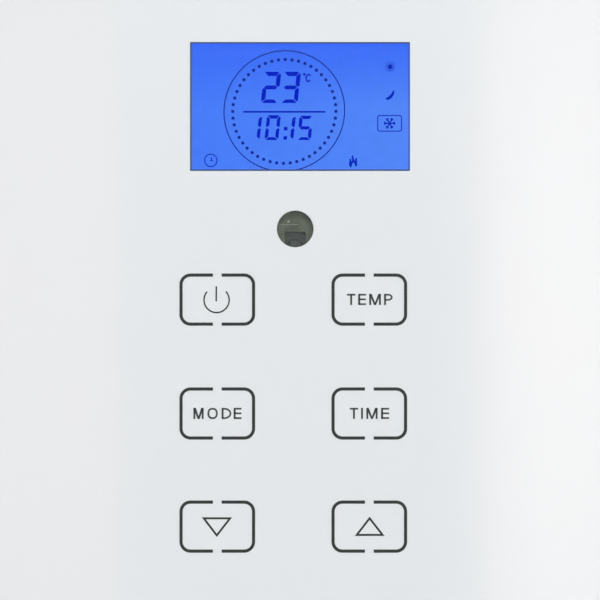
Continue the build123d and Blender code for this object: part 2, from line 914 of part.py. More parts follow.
def tilt_pin(gap):
    """Pivot pin between blind holes of the case and the lid, or with a gap its bore."""
    start = steel_right + tilt_wall - tilt_pin_seat
    length = tilt_depth - 2 * (tilt_wall - tilt_pin_seat)
    return rod((start, tilt_middle_y, tilt_pin_z), (1, 0, 0), tilt_pin_radius + gap, length)


def tilt_pendulum():
    """Weight on an arm, free to swing about the pin."""
    middle = steel_right + tilt_depth / 2
    start = middle - tilt_bob_length / 2
    hub = rod((start, tilt_middle_y, tilt_pin_z), (1, 0, 0), tilt_hub_radius, tilt_bob_length)
    arm = slab((middle, tilt_middle_y, tilt_pin_z - tilt_arm / 2),
               (tilt_bob_length / 2, tilt_arm_width, tilt_arm))
    bob = rod((start, tilt_middle_y, tilt_pin_z - tilt_arm), (1, 0, 0), tilt_bob_radius,
              tilt_bob_length)
    return (hub + arm + bob) - tilt_pin(pin_gap)


# Room sensor


def room_sensor():
    """Sleeve of the room temperature sensor, in the air over the vents."""
    return rod((sensor_x, sensor_y, sensor_z), (1, 0, 0), sensor_radius, sensor_length)


def sensor_clip():
    """Holder that stands on the floor of the pod round the middle of the sensor."""
    middle = sensor_x + sensor_length / 2
    clip = block(
        (middle - sensor_clip_width / 4, sensor_y - sensor_clip_width / 2,
         floor_clearance + pod_wall),
        (middle + sensor_clip_width / 4, sensor_y + sensor_clip_width / 2,
         sensor_z + sensor_clip_width / 2),
    )
    return clip - rod((sensor_x, sensor_y, sensor_z), (1, 0, 0), sensor_radius + pin_gap,
                      sensor_length)


# Steel body


def screw_holes(solid, places, direction, length):
    """Cuts one clearance hole at each place, along a direction."""
    for place in places:
        start = [a - d * overrun for a, d in zip(place, direction)]
        solid -= rod(start, direction, screw_hole_radius, length + 2 * overrun)
    return solid


bottom_screw_places = [
    (steel_left + share * steel_length, side * foot_screw_y, floor_clearance)
    for share in bottom_screw_shares
    for side in (-1, 1)
]
rear_screw_places = [
    (x, half_depth, body_top - share * body_height)
    for x in (steel_left + plate_flange / 2, steel_right - plate_flange / 2)
    for share in rear_screw_drop_shares
]
left_foot_places = [(foot_places[0], side * foot_screw_y, floor_clearance) for side in (-1, 1)]


def body_panel(side):
    """Sheet panel with a flange above and a wider one below; side is -1 in front, 1 behind."""
    points = [
        (side * (half_depth - bottom_flange), floor_clearance),
        (side * half_depth, floor_clearance),
        (side * half_depth, body_top),
        (side * (half_depth - top_flange), body_top),
    ]
    if side < 0:
        points.reverse()
    strip = folded_strip(points, [panel_bend_radius, panel_bend_radius], sheet)
    panel = along_x(strip, steel_left, steel_right)
    holes = [place for place in bottom_screw_places + left_foot_places if place[1] * side > 0]
    return screw_holes(panel, holes, (0, 0, 1), sheet)


def rear_panel():
    """Rear panel with rows of air inlets, two wall slots and its screw holes."""
    panel = body_panel(1)
    cut = 2 * sheet + overrun
    for row in range(inlet_rows):
        z = floor_clearance + inlet_base + row * inlet_row_pitch
        for column in range(inlet_columns):
            x = steel_middle + (column - (inlet_columns - 1) / 2) * inlet_slot_pitch
            panel -= slab((x, half_depth, z),
                          (inlet_slot_pitch - inlet_slot_gap, cut, inlet_slot_height))
    for side in (-1, 1):
        place = Plane(origin=(steel_middle + side * wall_slot_pitch / 2, half_depth + overrun,
                              body_top - wall_slot_drop), x_dir=(1, 0, 0), z_dir=(0, -1, 0))
        slot = SlotOverall(wall_slot_length, wall_slot_width)
        panel -= extrude(place * slot, amount=sheet + 2 * overrun)
    return screw_holes(panel, rear_screw_places, (0, -1, 0), sheet)


def bottom_plate():
    """Floor of the chamber: air inlets, and the holes of the panels, the foot and the clips."""
    plate = block((steel_left, -bent_reach, bottom_inside), (steel_right, bent_reach, plate_base))
    for index in range(floor_slot_count):
        x = steel_middle + (index - (floor_slot_count - 1) / 2) * floor_slot_pitch
        plate -= slab((x, 0, plate_base), (floor_slot_pitch - floor_slot_gap, floor_slot_length,
                                           2 * sheet + overrun))
    return screw_holes(plate, bottom_screw_places + left_foot_places, (0, 0, 1), 2 * sheet)


def end_plate(outer_x, way):
    """End plate of the chamber; its flanges, turned inward along way, back both panels."""
    inner_x = outer_x + way * plate_flange
    points = [(inner_x, -steel_inside), (outer_x, -steel_inside), (outer_x, steel_inside),
              (inner_x, steel_inside)]
    if way > 0:
        points.reverse()
    strip = folded_strip(points, [plate_bend_radius, plate_bend_radius], sheet)
    low = floor_clearance + panel_bend_radius + plate_bend_radius
    high = body_top - panel_bend_radius - plate_bend_radius
    plate = along_z(strip, low, high)
    top = body_top - grille_plate - seam_gap
    flat_y = steel_inside - plate_bend_radius
    web_points = [(-flat_y, plate_base), (flat_y, plate_base), (flat_y, top), (-flat_y, top)]
    web = filled(web_points, [plate_corner_radius] * len(web_points))
    plate += along_x(web, min(outer_x, outer_x + way * sheet), max(outer_x, outer_x + way * sheet))
    start = outer_x - way * overrun
    depth = sheet + 2 * overrun
    plate -= rod((start, 0, element_z), (way, 0, 0), bushing_radius + pin_gap, depth)
    plate -= rod((start, floor_lead_y, floor_lead_z), (way, 0, 0), grommet_radius, depth)
    for z in shield_screw_places:
        plate -= rod((start, shield_screw_y, z), (way, 0, 0), screw_hole_radius, depth)
    if way > 0:
        holes = [(outer_x, 0, z) for z in cap_post_places]
        plate = screw_holes(plate, holes, (way, 0, 0), sheet)
    else:
        holes = [(outer_x, lug_screw_y, z) for z in lug_places]
        plate = screw_holes(plate, holes, (way, 0, 0), sheet)
        plate -= rod((start, 0, cutout_z), (way, 0, 0), cutout_cap_radius + pin_gap, depth)
        plate -= rod((start, stud_y, stud_z), (way, 0, 0), stud_radius + pin_gap, depth)
    edge = half_depth + overrun
    for x, y, z in rear_screw_places:
        if abs(x - outer_x) < plate_flange:
            plate -= rod((x, edge, z), (0, -1, 0), screw_hole_radius, 2 * (sheet + overrun))
    return plate


shield_y = -steel_inside + shield_setback
shield_screw_y = shield_y + shield_screw_inset
shield_screw_places = [floor_clearance + share * body_height for share in shield_screw_shares]
cap_post_places = [floor_clearance + share * body_height for share in cap_post_shares]


def heat_shield():
    """Inner sheet that keeps the front panel cool, with a flange at each end plate."""
    points = [(web_right, shield_y + shield_flange), (web_right, shield_y),
              (web_left, shield_y), (web_left, shield_y + shield_flange)]
    points.reverse()
    strip = folded_strip(points, [plate_bend_radius, plate_bend_radius], shield_sheet)
    base = floor_clearance + shield_base
    shield = along_z(strip, base, body_top - shield_top_gap)
    for z in shield_screw_places:
        shield -= rod((web_left - overrun, shield_screw_y, z), (1, 0, 0), screw_hole_radius,
                      web_right - web_left + 2 * overrun)
    return shield


def top_grille():
    """Outlet grille: a frame under the panel flanges, with curved vanes tied by cross ribs."""
    base = body_top - grille_plate
    half_face = grille_face_depth / 2
    grille = block((steel_left, -half_face, base), (steel_right, half_face, body_top))
    grille += block((steel_left, -bent_reach, base), (steel_right, bent_reach, body_top - sheet))
    half_open = half_face - grille_side_land
    left = steel_left + grille_end_land
    right = steel_right - grille_end_land
    drop_base = body_top - grille_drop
    skirt = block((left - grille_skirt, -half_open - grille_skirt, drop_base),
                  (right + grille_skirt, half_open + grille_skirt, base))
    grille += skirt
    grille -= block((left, -half_open, drop_base - overrun), (right, half_open, body_top + overrun))
    pitch = 2 * half_open / (vane_count + 1)
    for index in range(vane_count):
        y = -half_open + (index + 1) * pitch
        points = [(y - vane_lean / 2, body_top - vane_sink),
                  (y - vane_lean / 2, body_top - grille_drop / 2), (y + vane_lean / 2, drop_base)]
        strip = folded_strip(points, [vane_bend_radius], vane_thickness)
        grille += along_x(strip, left - vane_sink, right + vane_sink)
    rib_pitch = (right - left) / (rib_count + 1)
    for index in range(rib_count):
        x = left + (index + 1) * rib_pitch
        grille += block(
            (x - rib_thickness / 2, -half_open - vane_sink, drop_base),
            (x + rib_thickness / 2, half_open + vane_sink, body_top - 2 * vane_sink),
        )
    return grille


def heating_element():
    """Finned profile: four wings about a round hub, each with cross fins that widen outward."""
    section = Circle(element_hub_radius)
    for quarter in range(4):
        wing = Pos(wing_reach / 2, 0) * Rectangle(wing_reach, wing_thickness)
        for share in fin_place_shares:
            place = share * wing_reach
            wing += Pos(place, 0) * Rectangle(fin_thickness, 2 * place * fin_spread_share)
        section += Rot(0, 0, 45 + 90 * quarter) * wing
    section -= Circle(core_radius + pin_gap)
    end_gap = bushing_length - bushing_flange + element_end_gap
    return along_x(Pos(0, element_z) * section, steel_left + end_gap, steel_right - end_gap)


def element_core():
    """Sheathed heating rod with a terminal at each end; the left tab points down."""
    left = steel_left - core_overhang
    right = steel_right + core_overhang
    core = rod((left, 0, element_z), (1, 0, 0), core_radius, right - left)
    core += rod((left - terminal_length, 0, element_z), (1, 0, 0), terminal_radius,
                right - left + 2 * terminal_length)
    core += flat_tab((right + terminal_length, 0, element_z), (1, 0, 0), 1)
    core += flat_tab((left - terminal_length, 0, element_z), (0, 0, -1), 1)
    return core


def element_bushings():
    """Ceramic bushings, each with its flange outside its end plate."""
    rings = []
    for outer_x, way in ((steel_left, -1), (steel_right, 1)):
        ring = rod((outer_x, 0, element_z), (way, 0, 0), bushing_flange_radius, bushing_flange)
        ring += rod((outer_x, 0, element_z), (-way, 0, 0), bushing_radius,
                    bushing_length - bushing_flange)
        start = (outer_x + way * (bushing_flange + overrun), 0, element_z)
        rings.append(ring - rod(start, (-way, 0, 0), core_radius + pin_gap,
                                bushing_length + 2 * overrun))
    return rings


def lead_grommets():
    """Grommets of the long lead, one in each end plate."""
    rings = []
    for outer_x in (steel_left + sheet / 2, steel_right - sheet / 2):
        half = sheet / 2 + grommet_flange
        ring = rod((outer_x - half, floor_lead_y, floor_lead_z), (1, 0, 0),
                   grommet_flange_radius, 2 * half)
        groove = rod((outer_x - sheet / 2, floor_lead_y, floor_lead_z), (1, 0, 0),
                     grommet_flange_radius + overrun, sheet)
        waist = rod((outer_x - half, floor_lead_y, floor_lead_z), (1, 0, 0),
                    grommet_radius - pin_gap, 2 * half)
        bore = rod((outer_x - half, floor_lead_y, floor_lead_z), (1, 0, 0),
                   lead_radius + pin_gap, 2 * half)
        rings.append((ring - groove) + waist - bore)
    return rings


def lead_clips():
    """Clips on the bottom plate that hold the long lead."""
    clips = []
    for share in clip_shares:
        x = steel_left + share * steel_length
        clip = block((x - clip_width / 2, floor_lead_y - clip_depth / 2, plate_base),
                     (x + clip_width / 2, floor_lead_y + clip_depth / 2,
                      floor_lead_z + clip_cover + lead_radius))
        clips.append(clip - rod((x - clip_width, floor_lead_y, floor_lead_z), (1, 0, 0),
                                lead_radius + pin_gap, 2 * clip_width))
    return clips


def left_cap():
    """Moulded left end with two screw posts that reach the end plate."""
    points = [(cap_right, half_depth), (-half_width, half_depth), (-half_width, -half_depth),
              (cap_right, -half_depth)]
    cap = moulded_end(points, [rear_corner_radius, front_corner_radius])
    for z in cap_post_places:
        cap += rod((-half_width, 0, z), (1, 0, 0), cap_post_radius, cap_width)
        cap -= rod((-half_width - overrun, 0, z), (1, 0, 0), post_well_radius,
                   cap_width - cap_post_floor + overrun)
        cap -= rod((cap_right + overrun, 0, z), (-1, 0, 0), screw_hole_radius, cap_width)
    return cap


# Feet


def foot_path():
    """Side of a foot from one tip to the other: a saddle on a waist with rounded tips."""
    tip = foot_depth / 2
    right = [(tip, pad_lift), (tip, foot_tip_height), (foot_waist_reach, foot_waist_height),
             (foot_saddle_reach, floor_clearance)]
    radii = [foot_tip_radius, foot_waist_radius, foot_saddle_radius]
    left = [(-y, z) for y, z in reversed(right)]
    return [*right, *left], [*radii, *reversed(radii)]


def foot(x):
    """Moulded foot, hollow below between the solid tips that take the rubber pads."""
    points, radii = foot_path()
    side = filled(points, [0, *radii, 0])
    plan = Pos(x, 0) * RectangleRounded(foot_width, foot_depth, foot_corner_radius)
    half = foot_width / 2
    shell = along_x(side, x - half, x + half) & along_z(plan, 0, floor_clearance + overrun)
    inner = side - folded_strip(points, radii, foot_wall)
    hollow_reach = pad_place - pad_depth / 2 - pad_land
    hollow = along_x(inner, x - half + foot_wall, x + half - foot_wall)
    hollow &= slab((x, 0, 0), (foot_width, 2 * hollow_reach, 2 * floor_clearance))
    shell -= hollow
    for way in (-1, 1):
        shell -= pad(x, way * pad_place, slip_gap)
        shell -= rod((x, way * foot_screw_y, floor_clearance + overrun), (0, 0, -1),
                     screw_hole_radius, foot_wall + 2 * overrun)
    return shell


def pad(x, y, gap):
    """Rubber pad, or with a gap the pocket that takes it."""
    size = (pad_width + 2 * gap, pad_depth + 2 * gap)
    return along_z(Pos(x, y) * RectangleRounded(*size, pad_corner_radius), 0, pad_height)


# Leads, from the middle of one end to the other


def moved(point, way, distance=1):
    """Point moved along a way."""
    return tuple(a + distance * b for a, b in zip(point, way))


def route(start, start_way, end, end_way, reaches, middle=()):
    """Points of a lead that leaves both its ends straight and passes the points between."""
    first = moved(start, start_way, reaches[0])
    last = moved(end, end_way, reaches[1])
    return [start, first, *[moved(first, step) for step in middle], last, end]


terminals = [(terminal_x, y, terminal_entry_z) for y in terminal_ys]
cutout_tabs = [
    (steel_right + cutout_depth + tab_length, side * cutout_tab_offset, cutout_z)
    for side in (-1, 1)
]
right_tab = (steel_right + core_overhang + terminal_length + tab_length, 0, element_z)
left_tab = (steel_left - core_overhang - terminal_length, 0, element_z - tab_length)


def live_lead():
    """Lead from the power board to the cutout."""
    start = (power_face, power_front + live_lead_start, power_top - live_lead_drop)
    return lead(route(start, (1, 0, 0), cutout_tabs[0], (1, 0, 0), live_lead_ends))


def cutout_lead():
    """Lead from the cutout to the right end of the element."""
    points = route(cutout_tabs[1], (1, 0, 0), right_tab, (1, 0, 0), cutout_lead_ends,
                   cutout_lead_route)
    return lead(points)


def return_lead():
    """Long lead from the left end of the element, along the floor, to the terminal block."""
    down = moved(left_tab, (0, 0, -1), return_lead_ends[0])
    knee = (down[0] - return_lead_bow, return_lead_knee_share * floor_lead_y,
            down[2] + return_lead_knee_share * (floor_lead_z - down[2]))
    low = (down[0] - return_lead_shift, floor_lead_y, floor_lead_z)
    turn = (steel_right + return_lead_turn, floor_lead_y, floor_lead_z)
    rise = moved(turn, return_lead_rise)
    last = moved(terminals[0], (0, 0, -1), return_lead_ends[1])
    return lead([left_tab, down, knee, low, turn, rise, last, terminals[0]])


def earth_lead():
    """Lead from the terminal block to the ring on the earth stud."""
    end = (steel_right + ring_barrel_radius, stud_y, ring_top)
    return lead(route(terminals[1], (0, 0, -1), end, (0, 0, 1), earth_lead_ends))


def switch_leads():
    """Two leads from the terminal block to the tabs of the mains switch."""
    leads = []
    for index, side in enumerate((1, -1)):
        tab = (recess_floor - switch_depth - tab_length, switch_y,
               switch_z + side * switch_tab_spread)
        points = route(terminals[2 + index], (0, 0, -1), tab, (-1, 0, 0),
                       switch_lead_ends[index], switch_lead_routes[index])
        leads.append(lead(points))
    return leads


def signal_lead():
    """Sheathed bundle between the plugs of the two boards."""
    start = (plug_x, board_back + plug_depth, plug_z)
    end = (power_face + plug_depth, power_plug_y, power_top - power_plug_drop)
    points = route(start, (0, 1, 0), end, (1, 0, 0), signal_lead_ends, signal_lead_route)
    return lead(points, signal_lead_radius)


def sensor_lead():
    """Thin lead of the room sensor."""
    start = (sensor_x, sensor_y, sensor_z)
    end = (power_face + plug_depth, power_plug_y, power_bottom + sensor_plug_lift)
    points = route(start, (-1, 0, 0), end, (1, 0, 0), sensor_lead_ends, sensor_lead_route)
    return lead(points, sensor_lead_radius)


# Groups of screws


def placed_screws(places, direction, length):
    """One screw of a length at each place."""
    return [screw(place, direction, length) for place in places]


def board_screws():
    """Screws that hold the control board to the bosses of the cover."""
    length = board_thickness + board_bore_depth - slip_gap
    return [
        screw((x, board_back, z), (0, -1, 0), length, board_screw_radius,
              board_screw_head_radius, board_screw_head)
        for x, z in board_screw_places
    ]


def pod_screws():
    """Long screws that pull the two halves of the pod together."""
    seats = [(x, parting_y + post_floor, z) for x, z in post_places]
    return placed_screws(seats, (0, -1, 0), post_floor + post_bite - slip_gap)


def lug_screws():
    """Screws through the lugs of the pod into the partition."""
    seats = [(pod_left + lug_thickness, lug_screw_y, z) for z in lug_places]
    return placed_screws(seats, (-1, 0, 0), lug_screw_length)


def cap_screws():
    """Screws at the bottom of the wells of the left cap."""
    seats = [(cap_right - cap_post_floor, 0, z) for z in cap_post_places]
    return placed_screws(seats, (1, 0, 0), cap_screw_length)


def shield_screws():
    """Screws through the end plates into the flanges of the shield."""
    group = []
    for outer_x, way in ((steel_left, 1), (steel_right, -1)):
        seats = [(outer_x, shield_screw_y, z) for z in shield_screw_places]
        group += placed_screws(seats, (way, 0, 0), shield_screw_length)
    return group


def foot_screws():
    """Screws from the hollow of each foot up into the heater."""
    seats = [(x, side * foot_screw_y, floor_clearance - foot_wall)
             for x in foot_places for side in (-1, 1)]
    return placed_screws(seats, (0, 0, 1), foot_screw_length)


def write(name, solids):
    """Writes one sub-part: a solid, or a group of separate solids."""
    group = solids if isinstance(solids, list) else [solids]
    bodies = [body for solid in group for body in solid.solids()]
    shape = bodies[0] if len(bodies) == 1 else Compound(bodies)
    export_step(shape, os.path.join("parts", name + ".step"))


os.makedirs("parts", exist_ok=True)
pod_shell = moulded_end(pod_points(), pod_radii)
write("pod_front", pod_front(pod_shell))
write("pod_rear", pod_rear(pod_shell))
write("pod_screws", pod_screws())
write("display_lens", window(window_width - 2 * window_gap, window_height - 2 * window_gap,
                             window_flange, window_flange_thickness))
write("display_glass", display_plate(display_margin, display_front, display_back))
write("display_backlight", display_plate(backlight_margin, display_back, board_front))
write("receiver_window", receiver_window())
write("receiver_module", receiver_module())
write("control_board", control_board())
write("board_screws", board_screws())
write("touch_pads", touch_pads())
write("signal_plugs", signal_plugs())
write("signal_lead", signal_lead())
write("power_board", power_board())
write("board_standoffs", board_standoffs())
write("relays", [on_board(relay_size, offset, relay_lift) for offset in relay_offsets])
write("transformer", on_board(transformer_size, transformer_offset, transformer_lift))
write("capacitor", rod((power_face, capacitor_y, capacitor_z), (1, 0, 0), capacitor_radius,
                       capacitor_length))
write("terminal_block", terminal_block())
write("thermal_cutout", thermal_cutout())
write("earth_stud", earth_stud())
write("cord_gland", cord_gland())
write("cord_clamp", cord_clamp())
write("clamp_screws", clamp_screws())
write("switch_housing", switch_housing())
write("switch_rocker", switch_rocker())
write("tilt_case", tilt_case())
write("tilt_lid", tilt_lid())
write("tilt_pin", tilt_pin(0))
write("tilt_pendulum", tilt_pendulum())
write("room_sensor", room_sensor())
write("sensor_clip", sensor_clip())
write("live_lead", live_lead())
write("cutout_lead", cutout_lead())
write("return_lead", return_lead())
write("earth_lead", earth_lead())
write("switch_leads", switch_leads())
write("sensor_lead", sensor_lead())
write("lead_clips", lead_clips())
write("lead_grommets", lead_grommets())
write("front_panel", body_panel(-1))
write("rear_panel", rear_panel())
write("bottom_plate", bottom_plate())
write("left_plate", end_plate(steel_left, 1))
write("partition", end_plate(steel_right, -1))
write("heat_shield", heat_shield())
write("top_grille", top_grille())
write("heating_element", heating_element())
write("element_core", element_core())
write("element_bushings", element_bushings())
write("left_cap", left_cap())
write("cap_screws", cap_screws())
write("rear_screws", placed_screws(rear_screw_places, (0, -1, 0), rear_screw_length))
write("bottom_screws", placed_screws(bottom_screw_places, (0, 0, 1), bottom_screw_length))
write("shield_screws", shield_screws())
write("lug_screws", lug_screws())
write("left_foot", foot(foot_places[0]))
write("right_foot", foot(foot_places[1]))
pads = [pad(x, side * pad_place, 0) for x in foot_places for side in (-1, 1)]
write("foot_pads", pads)
write("foot_screws", foot_screws())
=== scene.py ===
import math

import bpy
import numpy as np
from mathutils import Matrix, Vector
from mathutils.bvhtree import BVHTree


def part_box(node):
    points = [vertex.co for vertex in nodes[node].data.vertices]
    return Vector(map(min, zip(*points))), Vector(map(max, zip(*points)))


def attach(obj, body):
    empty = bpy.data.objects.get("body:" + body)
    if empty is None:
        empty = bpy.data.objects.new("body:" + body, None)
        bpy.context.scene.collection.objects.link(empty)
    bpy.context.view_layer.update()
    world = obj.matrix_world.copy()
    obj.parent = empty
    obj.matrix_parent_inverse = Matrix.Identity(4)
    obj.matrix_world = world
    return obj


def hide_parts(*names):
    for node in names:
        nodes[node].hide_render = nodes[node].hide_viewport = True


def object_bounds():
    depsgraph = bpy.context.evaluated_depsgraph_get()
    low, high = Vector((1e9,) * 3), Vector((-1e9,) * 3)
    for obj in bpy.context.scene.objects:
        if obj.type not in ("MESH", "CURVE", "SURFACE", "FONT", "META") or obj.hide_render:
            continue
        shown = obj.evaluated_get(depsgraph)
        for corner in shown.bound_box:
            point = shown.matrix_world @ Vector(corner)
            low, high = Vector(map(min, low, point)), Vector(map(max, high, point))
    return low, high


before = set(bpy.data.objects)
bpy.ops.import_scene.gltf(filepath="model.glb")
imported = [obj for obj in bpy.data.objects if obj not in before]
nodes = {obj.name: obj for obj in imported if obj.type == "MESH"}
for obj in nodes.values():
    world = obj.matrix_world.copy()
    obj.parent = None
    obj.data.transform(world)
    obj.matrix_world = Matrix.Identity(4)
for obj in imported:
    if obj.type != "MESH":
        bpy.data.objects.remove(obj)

cad_low, cad_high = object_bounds()


# Camera. The photograph looks straight at the control panel from about a third of a metre, so
# near that its frame holds 150 mm of the cover: the display above, then the receiver and keys.
lens_low, lens_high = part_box("display_lens")
face_y = lens_low.y
panel_x = (lens_low.x + lens_high.x) / 2
display_z = (lens_low.z + lens_high.z) / 2
photo_size = 600
photo_middle = photo_size / 2
frame_width = 0.150
pixel = frame_width / photo_size
display_row = 106.5
camera_z = display_z - (photo_middle - display_row) * pixel
camera_lens = 85.0
camera_sensor = 36.0
camera_distance = frame_width * camera_lens / camera_sensor

camera_data = bpy.data.cameras.new("photo_camera")
camera_data.lens = camera_lens
camera_data.sensor_width = camera_sensor
camera_data.clip_start = 0.01
camera_data.clip_end = 100
camera = bpy.data.objects.new("photo_camera", camera_data)
camera.location = (panel_x, face_y - camera_distance, camera_z)
camera.rotation_euler = (math.pi / 2, 0, 0)
bpy.context.collection.objects.link(camera)
bpy.context.scene.camera = camera
bpy.context.scene.view_settings.view_transform = "Standard"


# Room. A matt pale floor that runs on into a pale surround. The object is lit by the surround and
# by large soft boxes in front, behind and at both ends. Two dim ones stand to the right and left
# of the camera, and the gloss shoulders of the panel mirror them.
def linear(*levels):
    """Scene-linear colour of sRGB levels from 0 to 255: a level is divided by 255, and then by
    12.92 where it is at most 0.04045, and elsewhere shifted by 0.055 and raised to 2.4."""
    shares = np.asarray(levels, float) / 255
    low = shares / 12.92
    high = ((shares + 0.055) / 1.055) ** 2.4
    return (*np.where(shares <= 0.04045, low, high).tolist(), 1.0)


def feed(tree, part, inputs):
    """Gives inputs of a node, by name or number, a fixed value or another node's output."""
    for key, value in inputs.items():
        if isinstance(value, bpy.types.NodeSocket):
            tree.links.new(value, part.inputs[key])
        else:
            part.inputs[key].default_value = value


def add(tree, kind, inputs, **settings):
    """Outputs of a new node of a kind, with its settings and its inputs."""
    part = tree.nodes.new("ShaderNode" + kind)
    for setting, choice in settings.items():
        setattr(part, setting, choice)
    feed(tree, part, inputs)
    return part.outputs


def object_place(tree):
    """Output with the place in the object's own frame, which is the part's frame."""
    return add(tree, "TexCoord", {})["Object"]


def material_of(name):
    """New material, its node tree and its main shader."""
    material = bpy.data.materials.new(name)
    material.use_nodes = True
    tree = material.node_tree
    return material, tree, tree.nodes["Principled BSDF"]


noise_low, noise_high = 0.3, 0.7


def finish(name, tone, shade, cell, roughness, relief=0.0, grain=0.001, spread=0.04,
           stretch=(1.0, 1.0, 1.0), **sockets):
    """Material whose colour wavers between two tones in soft cells of one size, with a roughness
    that wavers by a spread, over a fine relief of one grain and up to a quarter of it high. Cells
    and grain are longer along an axis whose stretch is below one; other sockets are set as given,
    and most of the noise lies between its low and its high level."""
    material, tree, shader = material_of(name)
    place = add(tree, "Mapping", {"Vector": object_place(tree), "Scale": stretch})["Vector"]
    cells = add(tree, "TexNoise", {"Vector": place, "Scale": 1 / cell, "Detail": 3.0})["Fac"]
    tint = add(tree, "Mix", {"Factor": cells, "A": tone, "B": shade}, data_type="RGBA")
    rough = add(tree, "MapRange", {"Value": cells, "From Min": noise_low, "From Max": noise_high,
                                   "To Min": roughness - spread, "To Max": roughness + spread})
    feed(tree, shader, {"Base Color": tint["Result"], "Roughness": rough["Result"]})
    if relief:
        grains = add(tree, "TexNoise", {"Vector": place, "Scale": 1 / grain, "Detail": 2.0})
        bump = add(tree, "Bump", {"Height": grains["Fac"], "Strength": relief,
                                  "Distance": grain / 4})
        feed(tree, shader, {"Normal": bump["Normal"]})
    feed(tree, shader, {socket.replace("_", " "): value for socket, value in sockets.items()})
    return material


def dress(material, *names):
    """Gives CAD nodes a material in place of the plain one that they arrive with."""
    for name in names:
        for part_slot in nodes[name].material_slots:
            part_slot.material = material


surround_light = 0.36
surround_colour = linear(230, 232, 234)


def seen_ray(tree):
    """Output that is one for rays from the camera, mirrored rays and rays through glass."""
    ray = add(tree, "LightPath", {})
    mirrored = add(tree, "Math", {0: ray["Is Glossy Ray"], 1: ray["Is Transmission Ray"]},
                   operation="MAXIMUM")
    seen = add(tree, "Math", {0: ray["Is Camera Ray"], 1: mirrored["Value"]},
               operation="MAXIMUM")
    return seen["Value"]


world = bpy.data.worlds.new("surround")
bpy.context.scene.world = world
world.use_nodes = True
sky = world.node_tree
lighting = sky.nodes["Background"]
feed(sky, lighting, {"Color": (0.99, 0.995, 1.0, 1.0), "Strength": surround_light})
backdrop = add(sky, "Background", {"Color": surround_colour})["Background"]
choice = add(sky, "MixShader", {"Fac": seen_ray(sky), 1: lighting.outputs["Background"],
                                2: backdrop})
feed(sky, sky.nodes["World Output"], {"Surface": choice["Shader"]})

floor_reach = 60.0
floor_near, floor_far = 0.9, 2.4
bpy.ops.mesh.primitive_plane_add(size=2 * floor_reach)
floor = bpy.context.object
floor.name = "floor"
floor_paint = finish("pale_floor", linear(240, 241, 243), linear(237, 238, 240), 0.8, 0.85,
                     Specular_IOR_Level=0.1)
floor.data.materials.append(floor_paint)
ground = floor_paint.node_tree
span = add(ground, "VectorMath", {0: object_place(ground)}, operation="LENGTH")
fade = add(ground, "MapRange", {"Value": span["Value"], "From Min": floor_near,
                                "From Max": floor_far}, interpolation_type="SMOOTHSTEP")
melt = add(ground, "Math", {0: fade["Result"], 1: seen_ray(ground)}, operation="MULTIPLY")
painted = ground.nodes["Principled BSDF"].outputs["BSDF"]
horizon = add(ground, "Emission", {"Color": surround_colour})["Emission"]
meeting = add(ground, "MixShader", {"Fac": melt["Value"], 1: painted, 2: horizon})
feed(ground, ground.nodes["Material Output"], {"Surface": meeting["Shader"]})


def soft_box(name, place, aim, size, level, colour):
    """Lamp of a width and height, aimed at a point. Level is the share of full white that a white
    sheet facing it there would show: its power is the level times pi squared times the square of
    its distance."""
    away = Vector(place) - Vector(aim)
    data = bpy.data.lights.new(name, "AREA")
    data.shape = "RECTANGLE"
    data.size, data.size_y = size
    data.energy = level * math.pi ** 2 * away.length_squared
    data.color = colour
    lamp = bpy.data.objects.new(name, data)
    lamp.location = place
    lamp.rotation_euler = away.to_track_quat("Z", "Y").to_euler()
    lamp.visible_camera = False
    bpy.context.collection.objects.link(lamp)
    return lamp


middle = (0, 0, (cad_low.z + cad_high.z) / 2)
white, warm = (1.0, 1.0, 1.0), (1.0, 0.97, 0.95)
box_size = (2.4, 2.4)
for name, place, level, colour in (("front_box", (0.4, -3.5, 2.2), 0.465, white),
                                   ("right_box", (3.6, -0.25, 1.2), 0.42, warm),
                                   ("left_box", (-3.6, -0.25, 1.2), 0.18, warm),
                                   ("rear_box", (-1.4, 3.2, 1.8), 0.36, white)):
    soft_box(name, place, middle, box_size, level, colour).visible_glossy = False

strip_reach, strip_rise, strip_height = 1.2, 0.385, 0.75
for name, turn, width, level, colour in (("right_strip", 39, 0.78, 0.295, (1.0, 0.74, 0.66)),
                                         ("left_strip", -24, 0.42, 0.14, (1.0, 0.66, 0.60))):
    way = math.radians(turn)
    place = (panel_x + strip_reach * math.sin(way), face_y - strip_reach * math.cos(way),
             strip_rise)
    strip = soft_box(name, place, (panel_x, face_y, camera_z), (width, strip_height), level,
                     colour)
    strip.visible_diffuse = False


# Steel body. Front, back and floor are folded sheet, powder coated in white, which leaves a fine
# orange peel. The end plates, the partition and the shield are bare zinc-coated sheet.
paint_white = finish("paint_white_powder", linear(227, 231, 232), linear(222, 227, 229), 0.15,
                     0.36, 0.12, 0.0011, Specular_IOR_Level=0.45)
dress(paint_white, "front_panel", "rear_panel", "bottom_plate")


def spangled(name, tone, shade, cell, roughness):
    """Bare zinc: crystals of one size, each with its own tone and a roughness within a fifth of
    the given one, with soft edges."""
    material, tree, shader = material_of(name)
    crystals = add(tree, "TexVoronoi", {"Vector": object_place(tree), "Scale": 1 / cell})
    lot = add(tree, "SeparateColor", {"Color": crystals["Color"]})
    tint = add(tree, "Mix", {"Factor": lot["Red"], "A": tone, "B": shade}, data_type="RGBA")
    rough = add(tree, "MapRange", {"Value": lot["Green"], "To Min": 0.8 * roughness,
                                   "To Max": 1.2 * roughness})
    bump = add(tree, "Bump", {"Height": crystals["Distance"], "Strength": 0.1,
                              "Distance": cell / 20})
    feed(tree, shader, {"Base Color": tint["Result"], "Roughness": rough["Result"],
                        "Normal": bump["Normal"], "Metallic": 1.0})
    return material


